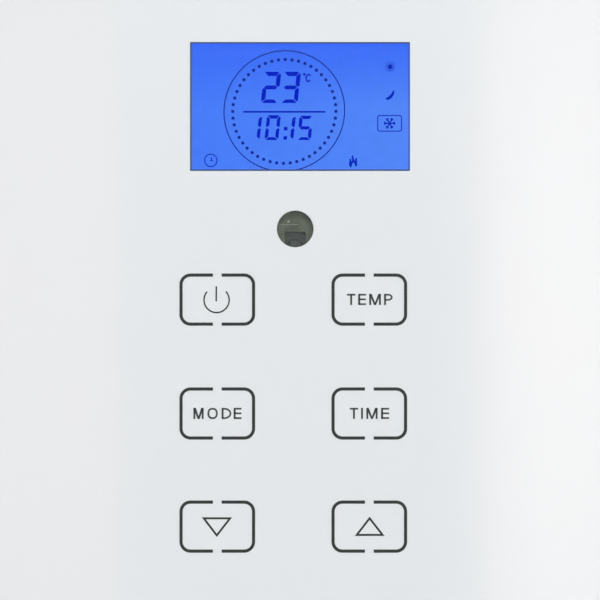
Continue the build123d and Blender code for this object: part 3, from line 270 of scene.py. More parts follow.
zinc_sheet = spangled("zinc_sheet", (0.60, 0.61, 0.62, 1), (0.50, 0.51, 0.53, 1), 0.006, 0.38)
dress(zinc_sheet, "partition", "left_plate", "heat_shield", "cord_clamp")


# Warm air outlet: one moulding of heat-proof plastic with a fine spark-eroded grain, which is
# pressed into the opening between the panels.
grille_white = finish("grille_white_moulding", linear(223, 227, 229), linear(218, 223, 225), 0.05,
                      0.5, 0.2, 0.0004, Specular_IOR_Level=0.4)
dress(grille_white, "top_grille")


# Heating element: a finned aluminium profile, drawn along its length, on a steel-sheathed heater
# rod that sits in a fired ceramic bushing at each end.
dress(finish("fin_aluminium_drawn", (0.76, 0.77, 0.78, 1), (0.67, 0.68, 0.70, 1), 0.004, 0.34,
             0.3, 0.0005, stretch=(0.03, 1.0, 1.0), Metallic=1.0), "heating_element")
dress(finish("sheath_steel_tinted", (0.46, 0.42, 0.36, 1), (0.36, 0.34, 0.33, 1), 0.02, 0.36,
             0.2, 0.0005, stretch=(1.0, 0.1, 0.1), Metallic=1.0), "element_core")
dress(finish("bushing_ceramic_fired", linear(233, 229, 219), linear(224, 219, 208), 0.003, 0.5,
             0.3, 0.0004), "element_bushings")
dress(finish("cutout_phenolic", linear(108, 70, 48), linear(92, 58, 40), 0.002, 0.3, 0.1, 0.0006),
      "thermal_cutout")


# Feet: light grey mouldings with a fine grain, screwed to the body from below, each with two
# black rubber pads pressed in.
foot_grey = finish("foot_grey_moulding", linear(197, 199, 201), linear(191, 193, 196), 0.02, 0.48,
                   0.25, 0.0005, Specular_IOR_Level=0.4)
dress(foot_grey, "left_foot", "right_foot")
rubber = finish("rubber_black", (0.045, 0.045, 0.047, 1), (0.06, 0.06, 0.06, 1), 0.004, 0.75,
                0.3, 0.0004, Specular_IOR_Level=0.25)
dress(rubber, "foot_pads", "lead_grommets")


# Screws: zinc-plated steel, with a pan head and a pressed cross, in place of the plain heads of
# the CAD. They hold the panels, the pod, the cap, the feet, the boards and the cord clamp.
def screw_seats(name, out, head_radius, head_height):
    """Middles of the seats under the heads of a group: the points that lie farthest out along
    the heads' direction are parted by nearness, and the middle of each part's box is moved in by
    the head's height."""
    level_slack, nearness = 1e-5, 2.2 * head_radius
    mesh = nodes[name].data
    flat = np.empty(3 * len(mesh.vertices), np.float32)
    mesh.vertices.foreach_get("co", flat)
    points = flat.reshape(-1, 3).astype(float)
    depth = points @ out
    outer = points[depth > depth.max() - level_slack]
    seats = []
    while len(outer):
        near = np.linalg.norm(outer - outer[0], axis=1) < nearness
        box_middle = (outer[near].min(axis=0) + outer[near].max(axis=0)) / 2
        seats.append(box_middle - head_height * out)
        outer = outer[~near]
    return seats


def cross_screw(seat, out, head_radius, head_height, shank_radius, length):
    """Screw as rings about its axis, from the middle of the dome over its rim and down the shank.
    The dome falls by a quarter of its height with the square of the radius's share. The cross
    is as deep as half the head where the nearer arm's middle line is within half its width, and
    rises to nothing over its draft and at the arms' reach."""
    turns, dome_fall, cross_depth = 56, 0.25, 0.5
    rim_level, seat_share, tip_start, tip_share = 0.3, 0.97, 0.85, 0.3
    around = np.radians(np.arange(turns) * 360 / turns)
    radii = head_radius * np.array([.08, .16, .25, .34, .43, .51, .57, .62, .75, .88, .96, 1.0])
    levels = head_height * (1 - dome_fall * (radii / head_radius) ** 2)
    across, along = np.outer(radii, np.cos(around)), np.outer(radii, np.sin(around))
    half_arm, draft, reach = 0.14 * head_radius, 0.06 * head_radius, 0.57 * head_radius
    off_arm = np.minimum(abs(across), abs(along))
    pocket = np.clip((half_arm + draft - off_arm) / draft, 0, 1)
    pocket *= np.clip((reach + draft - np.hypot(across, along)) / draft, 0, 1)
    heights = levels[:, None] - cross_depth * head_height * pocket
    lower = np.array([[1.0, rim_level], [seat_share, 0.0]]) * (head_radius, head_height)
    shank = np.array([[shank_radius, 0.0], [shank_radius, -tip_start * length],
                      [tip_share * shank_radius, -length]])
    for ring_radius, ring_level in np.vstack([lower, shank]):
        across = np.vstack([across, ring_radius * np.cos(around)])
        along = np.vstack([along, ring_radius * np.sin(around)])
        heights = np.vstack([heights, np.full(turns, ring_level)])
    side = np.cross(out, (0.0, 0.0, 1.0) if abs(out[2]) < 0.5 else (1.0, 0.0, 0.0))
    rise = np.cross(out, side)
    rings = (across[..., None] * side + along[..., None] * rise + heights[..., None] * out)
    count = len(rings)
    middle_floor = (1 - cross_depth) * head_height * out
    points = np.vstack([rings.reshape(-1, 3), middle_floor, -length * out]) + seat
    ring, step = np.meshgrid(np.arange(count - 1), np.arange(turns), indexing="ij")
    after = (step + 1) % turns
    quads = np.stack([ring * turns + step, (ring + 1) * turns + step, (ring + 1) * turns + after,
                      ring * turns + after], axis=-1).reshape(-1, 4)
    step, after = np.arange(turns), (np.arange(turns) + 1) % turns
    crown = np.column_stack([np.full(turns, count * turns), step, after])
    last = (count - 1) * turns
    tip = np.column_stack([last + step, np.full(turns, count * turns + 1), last + after])
    return points, quads.tolist() + crown.tolist() + tip.tolist()


sharp_angle = math.radians(25)


def piece_of(name, shapes, material, body="heater", smooth=False):
    """One object from several shapes of points and faces, with its material and body."""
    points, faces, first = [], [], 0
    for shape_points, shape_faces in shapes:
        points.append(shape_points)
        faces += [[corner + first for corner in face] for face in shape_faces]
        first += len(shape_points)
    mesh = bpy.data.meshes.new(name)
    mesh.from_pydata(np.vstack(points).tolist(), [], faces)
    mesh.update()
    mesh.materials.append(material)
    if smooth:
        mesh.shade_smooth()
        mesh.set_sharp_from_angle(angle=sharp_angle)
    piece = bpy.data.objects.new(name, mesh)
    bpy.context.collection.objects.link(piece)
    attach(piece, body)
    return piece


screw_zinc = finish("screw_zinc_plate", (0.62, 0.63, 0.64, 1), (0.52, 0.54, 0.57, 1), 0.0015, 0.3,
                    0.15, 0.0004, Metallic=1.0)
common_head, board_head = (0.0030, 0.0018), (0.0023, 0.0014)
shank_share, sheet_screw_length = 0.55, 0.008
screw_groups = {
    "rear_screws": [(0, 1, 0)], "bottom_screws": [(0, 0, -1)], "foot_screws": [(0, 0, -1)],
    "cap_screws": [(-1, 0, 0)], "pod_screws": [(0, 1, 0)], "lug_screws": [(1, 0, 0)],
    "clamp_screws": [(0, -1, 0)], "shield_screws": [(1, 0, 0), (-1, 0, 0)],
    "board_screws": [(0, 1, 0)],
}
for group, outs in screw_groups.items():
    head = board_head if group == "board_screws" else common_head
    low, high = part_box(group)
    screws = []
    for out in np.array(outs, float):
        span_out = abs((high - low).dot(Vector(out)))
        length = sheet_screw_length if len(outs) > 1 else span_out - head[1]
        for seat in screw_seats(group, out, *head):
            screws.append(cross_screw(seat, out, *head, shank_share * head[0], length))
    piece = piece_of(group.replace("screws", "cross_screws"), screws, screw_zinc,
                     smooth=True)
    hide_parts(group)


# Cover and rear half of the control pod, and the cap at the left end: moulded in one gloss
# white plastic, with the faint unevenness that such a skin has.
gloss_white = finish("gloss_white_moulding", linear(224, 230, 231), linear(228, 230, 232), 0.03,
                     0.30, 0.006, 0.002, 0.005, Coat_Weight=0.25, Coat_Roughness=0.12)
dress(gloss_white, "pod_front", "pod_rear", "left_cap")


# Inside the pod: control board, power board and what is soldered or screwed to them. The boards
# are glass laminate under a green mask, with tinned tracks.
def circuit(name, mask, track, cell, pitch):
    """Board whose square fields hold parallel tracks of one pitch, level in some and upright in
    the others: a track shows where a wave across the field is well above its middle, with edges
    between two levels of the wave. The unit wave is one of scale one."""
    unit_wave, edge_low, edge_high, track_rise = 0.314, 0.62, 0.68, 0.00005
    material, tree, shader = material_of(name)
    place = object_place(tree)
    fields = add(tree, "TexVoronoi", {"Vector": place, "Scale": 1 / cell}, distance="CHEBYCHEV")
    lot = add(tree, "SeparateColor", {"Color": fields["Color"]})
    level_wave, upright_wave = (add(tree, "TexWave", {"Vector": place, "Scale": unit_wave / pitch},
                                    bands_direction=way)["Fac"] for way in ("X", "Z"))
    turned = add(tree, "Math", {0: lot["Red"], 1: 0.5}, operation="GREATER_THAN")
    wave = add(tree, "Mix", {"Factor": turned["Value"], "A": level_wave, "B": upright_wave})
    shown = add(tree, "MapRange", {"Value": wave["Result"], "From Min": edge_low,
                                   "From Max": edge_high})["Result"]
    tint = add(tree, "Mix", {"Factor": shown, "A": mask, "B": track}, data_type="RGBA")
    bump = add(tree, "Bump", {"Height": shown, "Strength": 0.3, "Distance": track_rise})
    feed(tree, shader, {"Base Color": tint["Result"], "Normal": bump["Normal"],
                        "Roughness": 0.35})
    return material


dress(circuit("board_laminate", (0.04, 0.19, 0.09, 1), (0.07, 0.28, 0.13, 1), 0.012, 0.0012),
      "control_board", "power_board")
nylon = finish("nylon_natural", linear(228, 225, 217), linear(221, 218, 208), 0.004, 0.42)
dress(nylon, "board_standoffs", "signal_plugs", "sensor_clip", "lead_clips")
dress(finish("foam_conductive", (0.06, 0.06, 0.062, 1), (0.035, 0.035, 0.036, 1), 0.0008, 0.9,
             0.8, 0.0005, Specular_IOR_Level=0.1), "touch_pads")
dress(finish("relay_case", (0.05, 0.13, 0.42, 1), (0.045, 0.12, 0.38, 1), 0.004, 0.28), "relays")
dress(finish("terminal_moulding", (0.08, 0.35, 0.18, 1), (0.07, 0.31, 0.16, 1), 0.004, 0.4),
      "terminal_block")
dress(finish("core_laminations", (0.34, 0.31, 0.25, 1), (0.22, 0.20, 0.16, 1), 0.0012, 0.45,
             0.5, 0.0008, stretch=(0.02, 0.02, 1.0), Metallic=0.7), "transformer")
dress(finish("capacitor_sleeve", (0.07, 0.07, 0.12, 1), (0.09, 0.09, 0.14, 1), 0.003, 0.3),
      "capacitor")
dress(finish("sensor_resin_dipped", (0.03, 0.03, 0.03, 1), (0.04, 0.04, 0.04, 1), 0.002, 0.2,
             0.2, 0.002), "room_sensor")
dress(finish("brass_turned", (0.72, 0.56, 0.27, 1), (0.64, 0.49, 0.23, 1), 0.002, 0.28, 0.2,
             0.0004, stretch=(1.0, 0.1, 0.1), Metallic=1.0), "earth_stud")
black_moulding = finish("black_moulding", (0.03, 0.03, 0.032, 1), (0.036, 0.036, 0.038, 1), 0.01,
                        0.45, 0.25, 0.0004, Specular_IOR_Level=0.4)
dress(black_moulding, "cord_gland", "tilt_case", "tilt_lid", "switch_housing")
dress(finish("tumbled_steel", (0.58, 0.59, 0.60, 1), (0.50, 0.51, 0.53, 1), 0.003, 0.32, 0.2,
             0.0006, Metallic=1.0), "tilt_pin", "tilt_pendulum")


# Leads: stranded wire in a smooth extruded sleeve, brown and blue for the mains, black for the
# signals, and for the earth yellow mottled with green, in place of its stripe.
for sleeve, tone, leads in (
    ("sleeve_brown", (0.26, 0.11, 0.05, 1), ("live_lead", "cutout_lead")),
    ("sleeve_blue", (0.06, 0.16, 0.52, 1), ("return_lead",)),
    ("sleeve_black", (0.04, 0.04, 0.042, 1), ("switch_leads", "sensor_lead", "signal_lead")),
):
    shade = (*(0.85 * level for level in tone[:3]), 1)
    dress(finish(sleeve, tone, shade, 0.004, 0.36, 0.1, 0.001), *leads)
dress(finish("sleeve_yellow_green", (0.62, 0.62, 0.06, 1), (0.06, 0.30, 0.08, 1), 0.003, 0.36,
             0.1, 0.001), "earth_lead")


# Mains switch: a gloss black rocker on two pins in a snap-in housing. Its two marks, a bar above
# and a ring below, are printed on it in white and tilt with it.
rocker_black = finish("rocker_black_gloss", (0.02, 0.02, 0.022, 1), (0.026, 0.026, 0.028, 1),
                      0.01, 0.18, 0.05, 0.003)
dress(rocker_black, "switch_rocker")


def plate(outline, front, thickness):
    """Closed plate of one thickness: its front is an outline of X and Z at Y = front, turned
    counter-clockwise, its back is the same outline behind, and side faces join them."""
    outline = np.asarray(outline, float)
    x, z = outline.T
    if np.sum(x * np.roll(z, -1) - np.roll(x, -1) * z) < 0:
        outline = outline[::-1]
    count = len(outline)
    depths = np.repeat([front, front + thickness], count)
    points = np.column_stack([np.tile(outline[:, 0], 2), depths, np.tile(outline[:, 1], 2)])
    ring = np.arange(count)
    after = np.roll(ring, -1)
    sides = np.column_stack([after, ring, ring + count, after + count])
    faces = [ring.tolist(), (ring[::-1] + count).tolist(), *sides.tolist()]
    return points, faces


def band(line, width, front, thickness, closed=False):
    """Flat strip along a line of X and Z: at each point both edges lie off the line by half the
    width along the sum of the two normals, over one plus the cosine of the turn."""
    line = np.asarray(line, float)
    steps = np.diff(np.vstack([line, line[:1]]) if closed else line, axis=0)
    steps = steps / np.linalg.norm(steps, axis=1, keepdims=True)
    before = np.roll(steps, 1, axis=0) if closed else np.vstack([steps[:1], steps])
    after = steps if closed else np.vstack([steps, steps[-1:]])
    turn = np.sum(before * after, axis=1, keepdims=True)
    both = before + after
    reach = width / 2 * np.column_stack([-both[:, 1], both[:, 0]]) / (1 + turn)
    left, right = line + reach, line - reach
    corners = [(left, front), (right, front), (right, front + thickness),
               (left, front + thickness)]
    rings = np.stack([np.column_stack([side[:, 0], np.full(len(line), y), side[:, 1]])
                      for side, y in corners], axis=1)
    count = len(line)
    start = np.arange(count if closed else count - 1)
    end = (start + 1) % count
    quads = [np.column_stack([4 * start + k, 4 * start + (k + 1) % 4, 4 * end + (k + 1) % 4,
                              4 * end + k]) for k in range(4)]
    faces = np.vstack(quads).tolist()
    if not closed:
        last = 4 * (count - 1)
        faces += [[3, 2, 1, 0], [last, last + 1, last + 2, last + 3]]
    return rings.reshape(-1, 3), faces


def arc(centre, radius, start, end, steps):
    """Points on a circle from one angle to another, in degrees from the right, anticlockwise."""
    angles = np.radians(np.linspace(start, end, steps + 1))
    return np.asarray(centre) + radius * np.column_stack([np.cos(angles), np.sin(angles)])


rocker_low, rocker_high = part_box("switch_rocker")
rocker_face = BVHTree.FromObject(nodes["switch_rocker"], bpy.context.evaluated_depsgraph_get())
rocker_y = (rocker_low.y + rocker_high.y) / 2
rocker_z = (rocker_low.z + rocker_high.z) / 2
rocker_outside = rocker_high.x + 0.01


def on_rocker(shape):
    """Flat shape, drawn in X and Z about the switch's middle, laid on the rocker's face: its X
    runs along Y, and its depth is counted inwards from where a level line from outside meets
    the face."""
    points, faces = shape
    laid = []
    for aside, depth, up in points:
        start = Vector((rocker_outside, rocker_y + aside, rocker_z + up))
        met = rocker_face.ray_cast(start, Vector((-1, 0, 0)))[0]
        laid.append((met.x - depth, start.y, start.z))
    return np.array(laid), faces


mark_depth = 0.00004
bar_half, bar_foot, bar_top = 0.0004, 0.0026, 0.0056
ring_middle, ring_radius, ring_line = (0, -0.0040), 0.0015, 0.0006
bar = np.array([(-bar_half, bar_foot), (bar_half, bar_foot), (bar_half, bar_top),
                (-bar_half, bar_top)])
ring = arc(ring_middle, ring_radius, 0, 360, 36)[:-1]
mark_white = finish("mark_white", linear(232, 232, 230), linear(226, 226, 224), 0.002, 0.5)
piece_of("rocker_marks", [on_rocker(plate(bar, -mark_depth, 2 * mark_depth)),
                          on_rocker(band(ring, ring_line, -mark_depth, 2 * mark_depth, True))],
         mark_white, body="rocker")


# Display window: a clear flush plate with an anti-reflective face, behind it the liquid crystal
# cell lit from behind in blue, in the frame of its light guide.
clear, clear_tree, clear_shader = material_of("window_clear_plastic")
clear_cells = add(clear_tree, "TexNoise", {"Vector": object_place(clear_tree), "Scale": 120.0})
clear_tint = add(clear_tree, "Mix", {"Factor": clear_cells["Fac"], "A": (0.985, 0.99, 1.0, 1.0),
                                     "B": (1.0, 1.0, 1.0, 1.0)}, data_type="RGBA")
feed(clear_tree, clear_shader, {"Base Color": clear_tint["Result"], "Transmission Weight": 1.0,
                                "Roughness": 0.0, "IOR": 1.09})
dress(clear, "display_lens")


def glow(name, left, right, top, cell):
    """Shader of a lit plate: its colour runs from left to right, leans to a third one from the
    middle to the top, and has a faint mottle in cells."""
    top_lean, mottle_low, mottle_high = 1.1, 0.93, 1.07
    material, tree, shader = material_of(name)
    place = object_place(tree)
    axes = add(tree, "SeparateXYZ", {"Vector": place})
    across = add(tree, "MapRange", {"Value": axes["X"], "From Min": lens_low.x,
                                    "From Max": lens_high.x})
    upward = add(tree, "MapRange", {"Value": axes["Z"], "From Min": display_z,
                                    "From Max": lens_high.z, "To Max": top_lean})
    sides = add(tree, "Mix", {"Factor": across["Result"], "A": left, "B": right},
                data_type="RGBA")
    rise = add(tree, "Mix", {"Factor": upward["Result"], "A": sides["Result"], "B": top},
               data_type="RGBA")
    mottle = add(tree, "TexNoise", {"Vector": place, "Scale": 1 / cell, "Detail": 4.0})
    level = add(tree, "MapRange", {"Value": mottle["Fac"], "To Min": mottle_low,
                                   "To Max": mottle_high})
    lit = add(tree, "Mix", {"Factor": 1.0, "A": rise["Result"], "B": level["Result"]},
              data_type="RGBA", blend_type="MULTIPLY")
    feed(tree, shader, {"Emission Color": lit["Result"], "Emission Strength": 1.0,
                        "Base Color": (0.0, 0.0, 0.0, 1.0), "Specular IOR Level": 0.0,
                        "Roughness": 0.6})
    return material


dress(glow("display_backlit_blue", linear(70, 123, 248), linear(83, 135, 247),
           linear(58, 107, 247), 0.002), "display_glass")
dress(finish("light_guide_plastic", linear(205, 215, 228), linear(196, 208, 224), 0.01, 0.4),
      "display_backlight")


# Signs of the display: opaque cells of the liquid crystal, which show as dark blue on the lit
# ground. Their places are read off the photograph and set back by the depth of the window.
display_depth = 0.0035
display_scale = 1 + display_depth / camera_distance
ink_thickness = 0.00004
display_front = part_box("display_glass")[0].y - ink_thickness


def photo_place(points, scale=1.0):
    """X and Z of points in photo pixels: the distance from the view's middle, times the size of a
    pixel on the cover, times a scale that grows with the depth behind it."""
    across, down = (np.asarray(points, float).T - photo_middle) * pixel * scale
    return np.column_stack([panel_x + across, camera_z - down])


def display_plate(points):
    """Sign on the display within points in photo pixels."""
    return plate(photo_place(points, display_scale), display_front, ink_thickness)


def display_line(points, width, closed=False):
    """Strip on the display through points in photo pixels."""
    return band(photo_place(points, display_scale), width * pixel, display_front, ink_thickness,
                closed)


def display_disc(column, row, radius):
    """Round dot on the display, in photo pixels."""
    return display_plate(arc((column, row), radius, 0, 360, 14)[:-1])


digit_slant = math.tan(math.radians(6.3))
digit_parts = {"0": "abcdef", "1": "bc", "2": "abged", "3": "abgcd", "5": "afgcd"}


def digit(figure, right, top, width, height, stroke, gap):
    """Seven-part figure in photo pixels. Its bars are mitred plates with blunt outer corners, in
    a cell that leans: a point moves to the right by its height in the cell times the slant."""
    half = height / 2
    inner, thin, foot = width - stroke, 0.47 * stroke, 0.85 * stroke
    upper = [(0.2 * stroke, height), (width - 0.75 * stroke, height),
             (width - 0.5 * stroke, height - 0.25 * stroke), (inner - gap, height - stroke),
             (stroke + gap, height - stroke)]
    lower = [(0.55 * stroke, 0), (width - 0.5 * stroke, 0),
             (width - 0.35 * stroke, 0.15 * stroke), (inner - gap, foot), (stroke + gap, foot),
             (0.35 * stroke, 0.15 * stroke)]
    upright = [(width, height - 0.7 * stroke), (width - 0.12 * stroke, height - 0.5 * stroke),
               (width - 0.3 * stroke, height - 0.38 * stroke),
               (inner, height - 0.94 * stroke - gap), (inner, half + 0.55 * stroke + gap),
               (width - 0.42 * stroke, half + gap), (width, half + 0.3 * stroke + gap)]
    centre = [(0.37 * stroke, half), (0.9 * stroke, half + thin), (inner, half + thin),
              (width - stroke / 2 - gap, half), (inner, half - thin),
              (0.9 * stroke, half - thin)]
    upper, lower, upright, centre = map(np.array, (upper, lower, upright, centre))
    bars = {"a": upper, "d": lower, "g": centre, "b": upright,
            "c": (0, height) + upright * (1, -1), "f": (width, 0) + upright * (-1, 1),
            "e": (width, height) - upright}
    shapes = []
    for key in digit_parts[figure]:
        across, upward = bars[key].T
        columns = right - width - height * digit_slant + across + upward * digit_slant
        shapes.append(display_plate(np.column_stack([columns, top + height - upward])))
    return shapes


figure_ink = []
large_top, large_width, large_height, large_stroke, large_gap = 71.9, 17.2, 31.2, 4.2, 0.35
for figure, right in (("2", 281.35), ("3", 301.1)):
    figure_ink += digit(figure, right, large_top, large_width, large_height, large_stroke,
                        large_gap)
time_foot, small_width, small_stroke, small_gap = 140.1, 13.8, 3.4, 0.4
for figure, right, top in (("1", 262.4, 115.4), ("0", 280.95, 115.3), ("1", 296.0, 115.4),
                           ("5", 313.45, 115.8)):
    figure_ink += digit(figure, right, top, small_width, time_foot - top, small_stroke,
                        small_gap)
colon_half = 1.8
colon_square = colon_half * np.array([(-1, -1), (1, -1), (1, 1), (-1, 1)])
for colon_middle in ((285.7, 128.7), (285.2, 137.9)):
    figure_ink.append(display_plate(colon_square + colon_middle))


def line_ink(name, colour):
    """Dark sign on the lit ground, faintly mottled."""
    return glow(name, colour, colour, colour, 0.002)


piece_of("display_figures", figure_ink, line_ink("display_figures", linear(8, 34, 194)))

dial_middle = np.array([284.3, 111.1])
dial_radius, dial_slant, dial_line = 60.3, 0.0175, 1.12
dial = arc(dial_middle, dial_radius, 0, 360, 120)[:-1]
dial[:, 0] -= dial_slant * (dial[:, 1] - dial_middle[1])
dial_ink = [display_line(dial, dial_line, True)]
dot_count, dots_across, dots_up, dots_drop, dot_radius = 48, 51.6, 51.9, 0.4, 1.7
for turn in np.radians(np.arange(dot_count) * 360 / dot_count):
    aside, upward = dots_across * math.sin(turn), dots_up * math.cos(turn)
    dial_ink.append(display_disc(dial_middle[0] + aside + dial_slant * upward,
                                 dial_middle[1] + dots_drop - upward, dot_radius))
piece_of("display_dial", dial_ink, line_ink("display_dial_ink", linear(24, 48, 150)))

thin_line, rule_line, degree_line, arm_line, clock_line = 1.0, 1.75, 1.5, 1.3, 1.05
degree_dot, sun_radius, clock_radius = 1.35, 2.6, 6.2
sign_ink = [display_line([(243.2, 111.9), (325.4, 111.9)], rule_line)]
sign_ink.append(display_disc(304.4, 74.4, degree_dot))
degree_letter = [(310.7, 75.9), (309.7, 74.9), (308.4, 74.6), (307.3, 75.2), (306.4, 76.6),
                 (306.0, 78.3), (306.3, 79.9), (307.0, 81.1), (308.0, 81.5), (309.1, 81.1),
                 (310.4, 80.2)]
sign_ink.append(display_line(degree_letter, degree_line))
sun = np.array([390.2, 66.9])
ray_start, ray_end = 3.4, 4.9
sign_ink.append(display_disc(*sun, sun_radius))
for turn in np.radians(np.arange(12) * 30):
    way = np.array([math.sin(turn), -math.cos(turn)])
    sign_ink.append(display_line([sun + ray_start * way, sun + ray_end * way], thin_line))
moon = np.array([
    (393.7, 90.2), (394.4, 91.3), (394.2, 93.2), (393.4, 95.4), (392.1, 97.4), (390.6, 98.9),
    (388.6, 99.9), (386.7, 99.8), (385.3, 98.8), (385.8, 98.0), (387.1, 97.5), (388.5, 96.7),
    (389.9, 95.4), (391.2, 93.7), (392.3, 91.9), (392.9, 90.6),
])
sign_ink.append(display_plate(moon))
frame_left, frame_top, frame_right, frame_bottom, frame_round = 377.7, 115.6, 401.5, 131.2, 2.0
frame_line = np.vstack([
    arc((column, row), frame_round, start, start + 90, 5) for column, row, start in (
        (frame_right - frame_round, frame_bottom - frame_round, 0),
        (frame_left + frame_round, frame_bottom - frame_round, 90),
        (frame_left + frame_round, frame_top + frame_round, 180),
        (frame_right - frame_round, frame_top + frame_round, 270))
])
sign_ink.append(display_line(frame_line, thin_line, True))
flake = np.array([389.5, 123.4])
flake_arm, fork_start, fork_along, fork_aside = 5.8, 3.3, 1.8, 1.5
for turn in np.radians(30 + np.arange(6) * 60):
    way = np.array([math.sin(turn), -math.cos(turn)])
    aside = np.array([way[1], -way[0]])
    sign_ink.append(display_line([flake, flake + flake_arm * way], arm_line))
    fork = flake + fork_start * way
    for side in (-1, 1):
        fork_end = fork + fork_along * way + side * fork_aside * aside
        sign_ink.append(display_line([fork, fork_end], thin_line))
clock = np.array([210.9, 160.4])
sign_ink.append(display_line(arc(clock, clock_radius, 0, 360, 40)[:-1], clock_line, True))
hands = clock + (0.5, -0.3)
sign_ink.append(display_line([hands + (0.1, -3.0), hands], thin_line))
sign_ink.append(display_line([hands + (-1.1, 0.9), hands, hands + (1.4, 0.8)], thin_line))
flame = np.array([
    (350.5, 167.7), (349.3, 165.9), (348.7, 164.0), (349.3, 162.3), (349.5, 160.8),
    (349.3, 159.5), (350.2, 158.6), (351.2, 159.6), (351.3, 161.0), (351.9, 161.4),
    (352.1, 160.6), (351.7, 158.6), (351.6, 156.3), (352.6, 155.2), (353.5, 156.6),
    (353.8, 158.8), (354.5, 160.6), (355.0, 160.9), (355.2, 159.6), (355.6, 158.2),
    (356.4, 157.6), (357.0, 159.0), (357.0, 160.9), (356.8, 162.6), (357.3, 164.2),
    (357.0, 165.8), (356.2, 166.7), (355.2, 166.0), (354.8, 164.6), (354.2, 163.2),
    (353.6, 162.3), (352.8, 163.2), (352.1, 164.2), (351.9, 165.6), (351.5, 166.8),
])
sign_ink.append(display_plate(flame))
piece_of("display_signs", sign_ink, line_ink("display_sign_ink", linear(10, 42, 188)))


# Receiver under the display: a flush disc of lightly smoked plastic. Close behind it stands the
# resin block of the receiver in its grey-green holder, which is clipped to the board.
smoke = finish("smoked_window", linear(206, 212, 204), linear(198, 205, 198), 0.003, 0.04,
               Transmission_Weight=1.0, IOR=1.3)
dress(smoke, "receiver_window")
dress(finish("receiver_resin", linear(145, 150, 160), linear(123, 129, 134), 0.0012, 0.5,
             Specular_IOR_Level=0.3), "receiver_module")
module_low, module_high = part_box("receiver_module")
window_low, window_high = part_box("receiver_window")
receiver_x = (window_low.x + window_high.x) / 2
receiver_z = (window_low.z + window_high.z) / 2
holder_lag = 0.0002
holder_front = window_high.y + holder_lag
holder_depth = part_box("control_board")[0].y - holder_front
holder_radius, holder_gap = 0.0052, 0.0001
holder_start, holder_end = -56, 236
slot_left, slot_right = module_low.x - holder_gap, module_high.x + holder_gap
slot_top = module_high.z + holder_gap
rim = arc((receiver_x, receiver_z), holder_radius, holder_start, holder_end, 40)
holder_outline = np.vstack([rim, [(slot_left, rim[-1, 1]), (slot_left, slot_top),
                                  (slot_right, slot_top), (slot_right, rim[0, 1])]])
holder_grey = finish("holder_grey_green", linear(182, 194, 186), linear(122, 118, 110), 0.0018,
                     0.5, 0.5, 0.0006)


def paint_shade_near(material, middle, near, far, share):
    """Paints shade into a finish: darkens it to a share of its tone near a point, and less and
    less up to a distance from it, where little light comes in past the window."""
    tree = material.node_tree
    shader = tree.nodes["Principled BSDF"]
    reach = add(tree, "VectorMath", {0: object_place(tree), 1: middle}, operation="DISTANCE")
    shade = add(tree, "MapRange", {"Value": reach["Value"], "From Min": near, "From Max": far,
                                   "To Min": share})
    tone = shader.inputs["Base Color"].links[0].from_socket
    dimmed = add(tree, "Mix", {"Factor": 1.0, "A": tone, "B": shade["Result"]},
                 data_type="RGBA", blend_type="MULTIPLY")
    feed(tree, shader, {"Base Color": dimmed["Result"]})


# Painted shade on the holder round the top of the receiver's slot, a little to its left.
shade_left, shade_up, shade_near, shade_far, shade_share = 0.0006, 0.0001, 0.0015, 0.0034, 0.57
paint_shade_near(holder_grey, (receiver_x - shade_left, holder_front, slot_top + shade_up),
            shade_near, shade_far, shade_share)
piece_of("receiver_holder", [plate(holder_outline, holder_front, holder_depth)], holder_grey)
clip_line = np.array([(-0.0039, 0.0012), (0.0008, 0.0012)]) + (receiver_x, receiver_z)
clip_width, clip_rise = 0.00008, 0.0001
stud_left, stud_up, stud_radius = 0.0017, 0.0020, 0.00026
stud = arc((receiver_x - stud_left, receiver_z + stud_up), stud_radius, 0, 360, 16)[:-1]
tin = finish("tin_plate", (0.92, 0.91, 0.86, 1), (0.80, 0.79, 0.75, 1), 0.0006, 0.4, Metallic=1.0)
piece_of("receiver_clip", [band(clip_line, clip_width, holder_front - clip_rise, 2 * clip_rise),
                           plate(stud, holder_front - clip_rise, 2 * clip_rise)], tin)


# Print on the cover: the outline of each touch key, open above and below, and its symbol or
# legend, screen printed in dark grey. The keys are fields under the cover, so nothing of them
# stands out.
print_front = face_y - ink_thickness
print_depth = 2 * ink_thickness
key_ink = finish("key_print", linear(45, 50, 48), linear(51, 56, 54), 0.01, 0.5,
                 Specular_IOR_Level=0.2)
key_columns = (217.3, 369.3)
key_rows = (299.6, 413.5, 526.6)
key_width, key_height, key_line = 75.7, 52.2, 3.18
key_corner, key_gap = 11.0, 8.7


def cover_line(points, width, closed=False):
    """Printed strip on the cover through points in photo pixels."""
    return band(photo_place(points), width * pixel, print_front, print_depth, closed)


def cover_plate(points):
    """Printed field on the cover within points in photo pixels."""
    return plate(photo_place(points), print_front, print_depth)


reach_x, reach_z = (key_width - key_line) / 2, (key_height - key_line) / 2
bend = key_corner - key_line / 2
half_key = np.vstack([
    [(key_gap / 2, -reach_z)],
    arc((reach_x - bend, bend - reach_z), bend, -90, 0, 10),
    arc((reach_x - bend, reach_z - bend), bend, 0, 90, 10),
    [(key_gap / 2, reach_z)],
])
outlines = []
for column in key_columns:
    for row in key_rows:
        for side in (-1, 1):
            outlines.append(cover_line(half_key * (side, 1) + (column, row), key_line))
piece_of("key_outlines", outlines, key_ink)


def rounded(points, width):
    """Printed strip with round ends, in photo pixels."""
    points = np.asarray(points, float)
    ends = [cover_plate(arc(end, width / 2, 0, 360, 12)[:-1]) for end in points[[0, -1]]]
    return [cover_line(points, width), *ends]


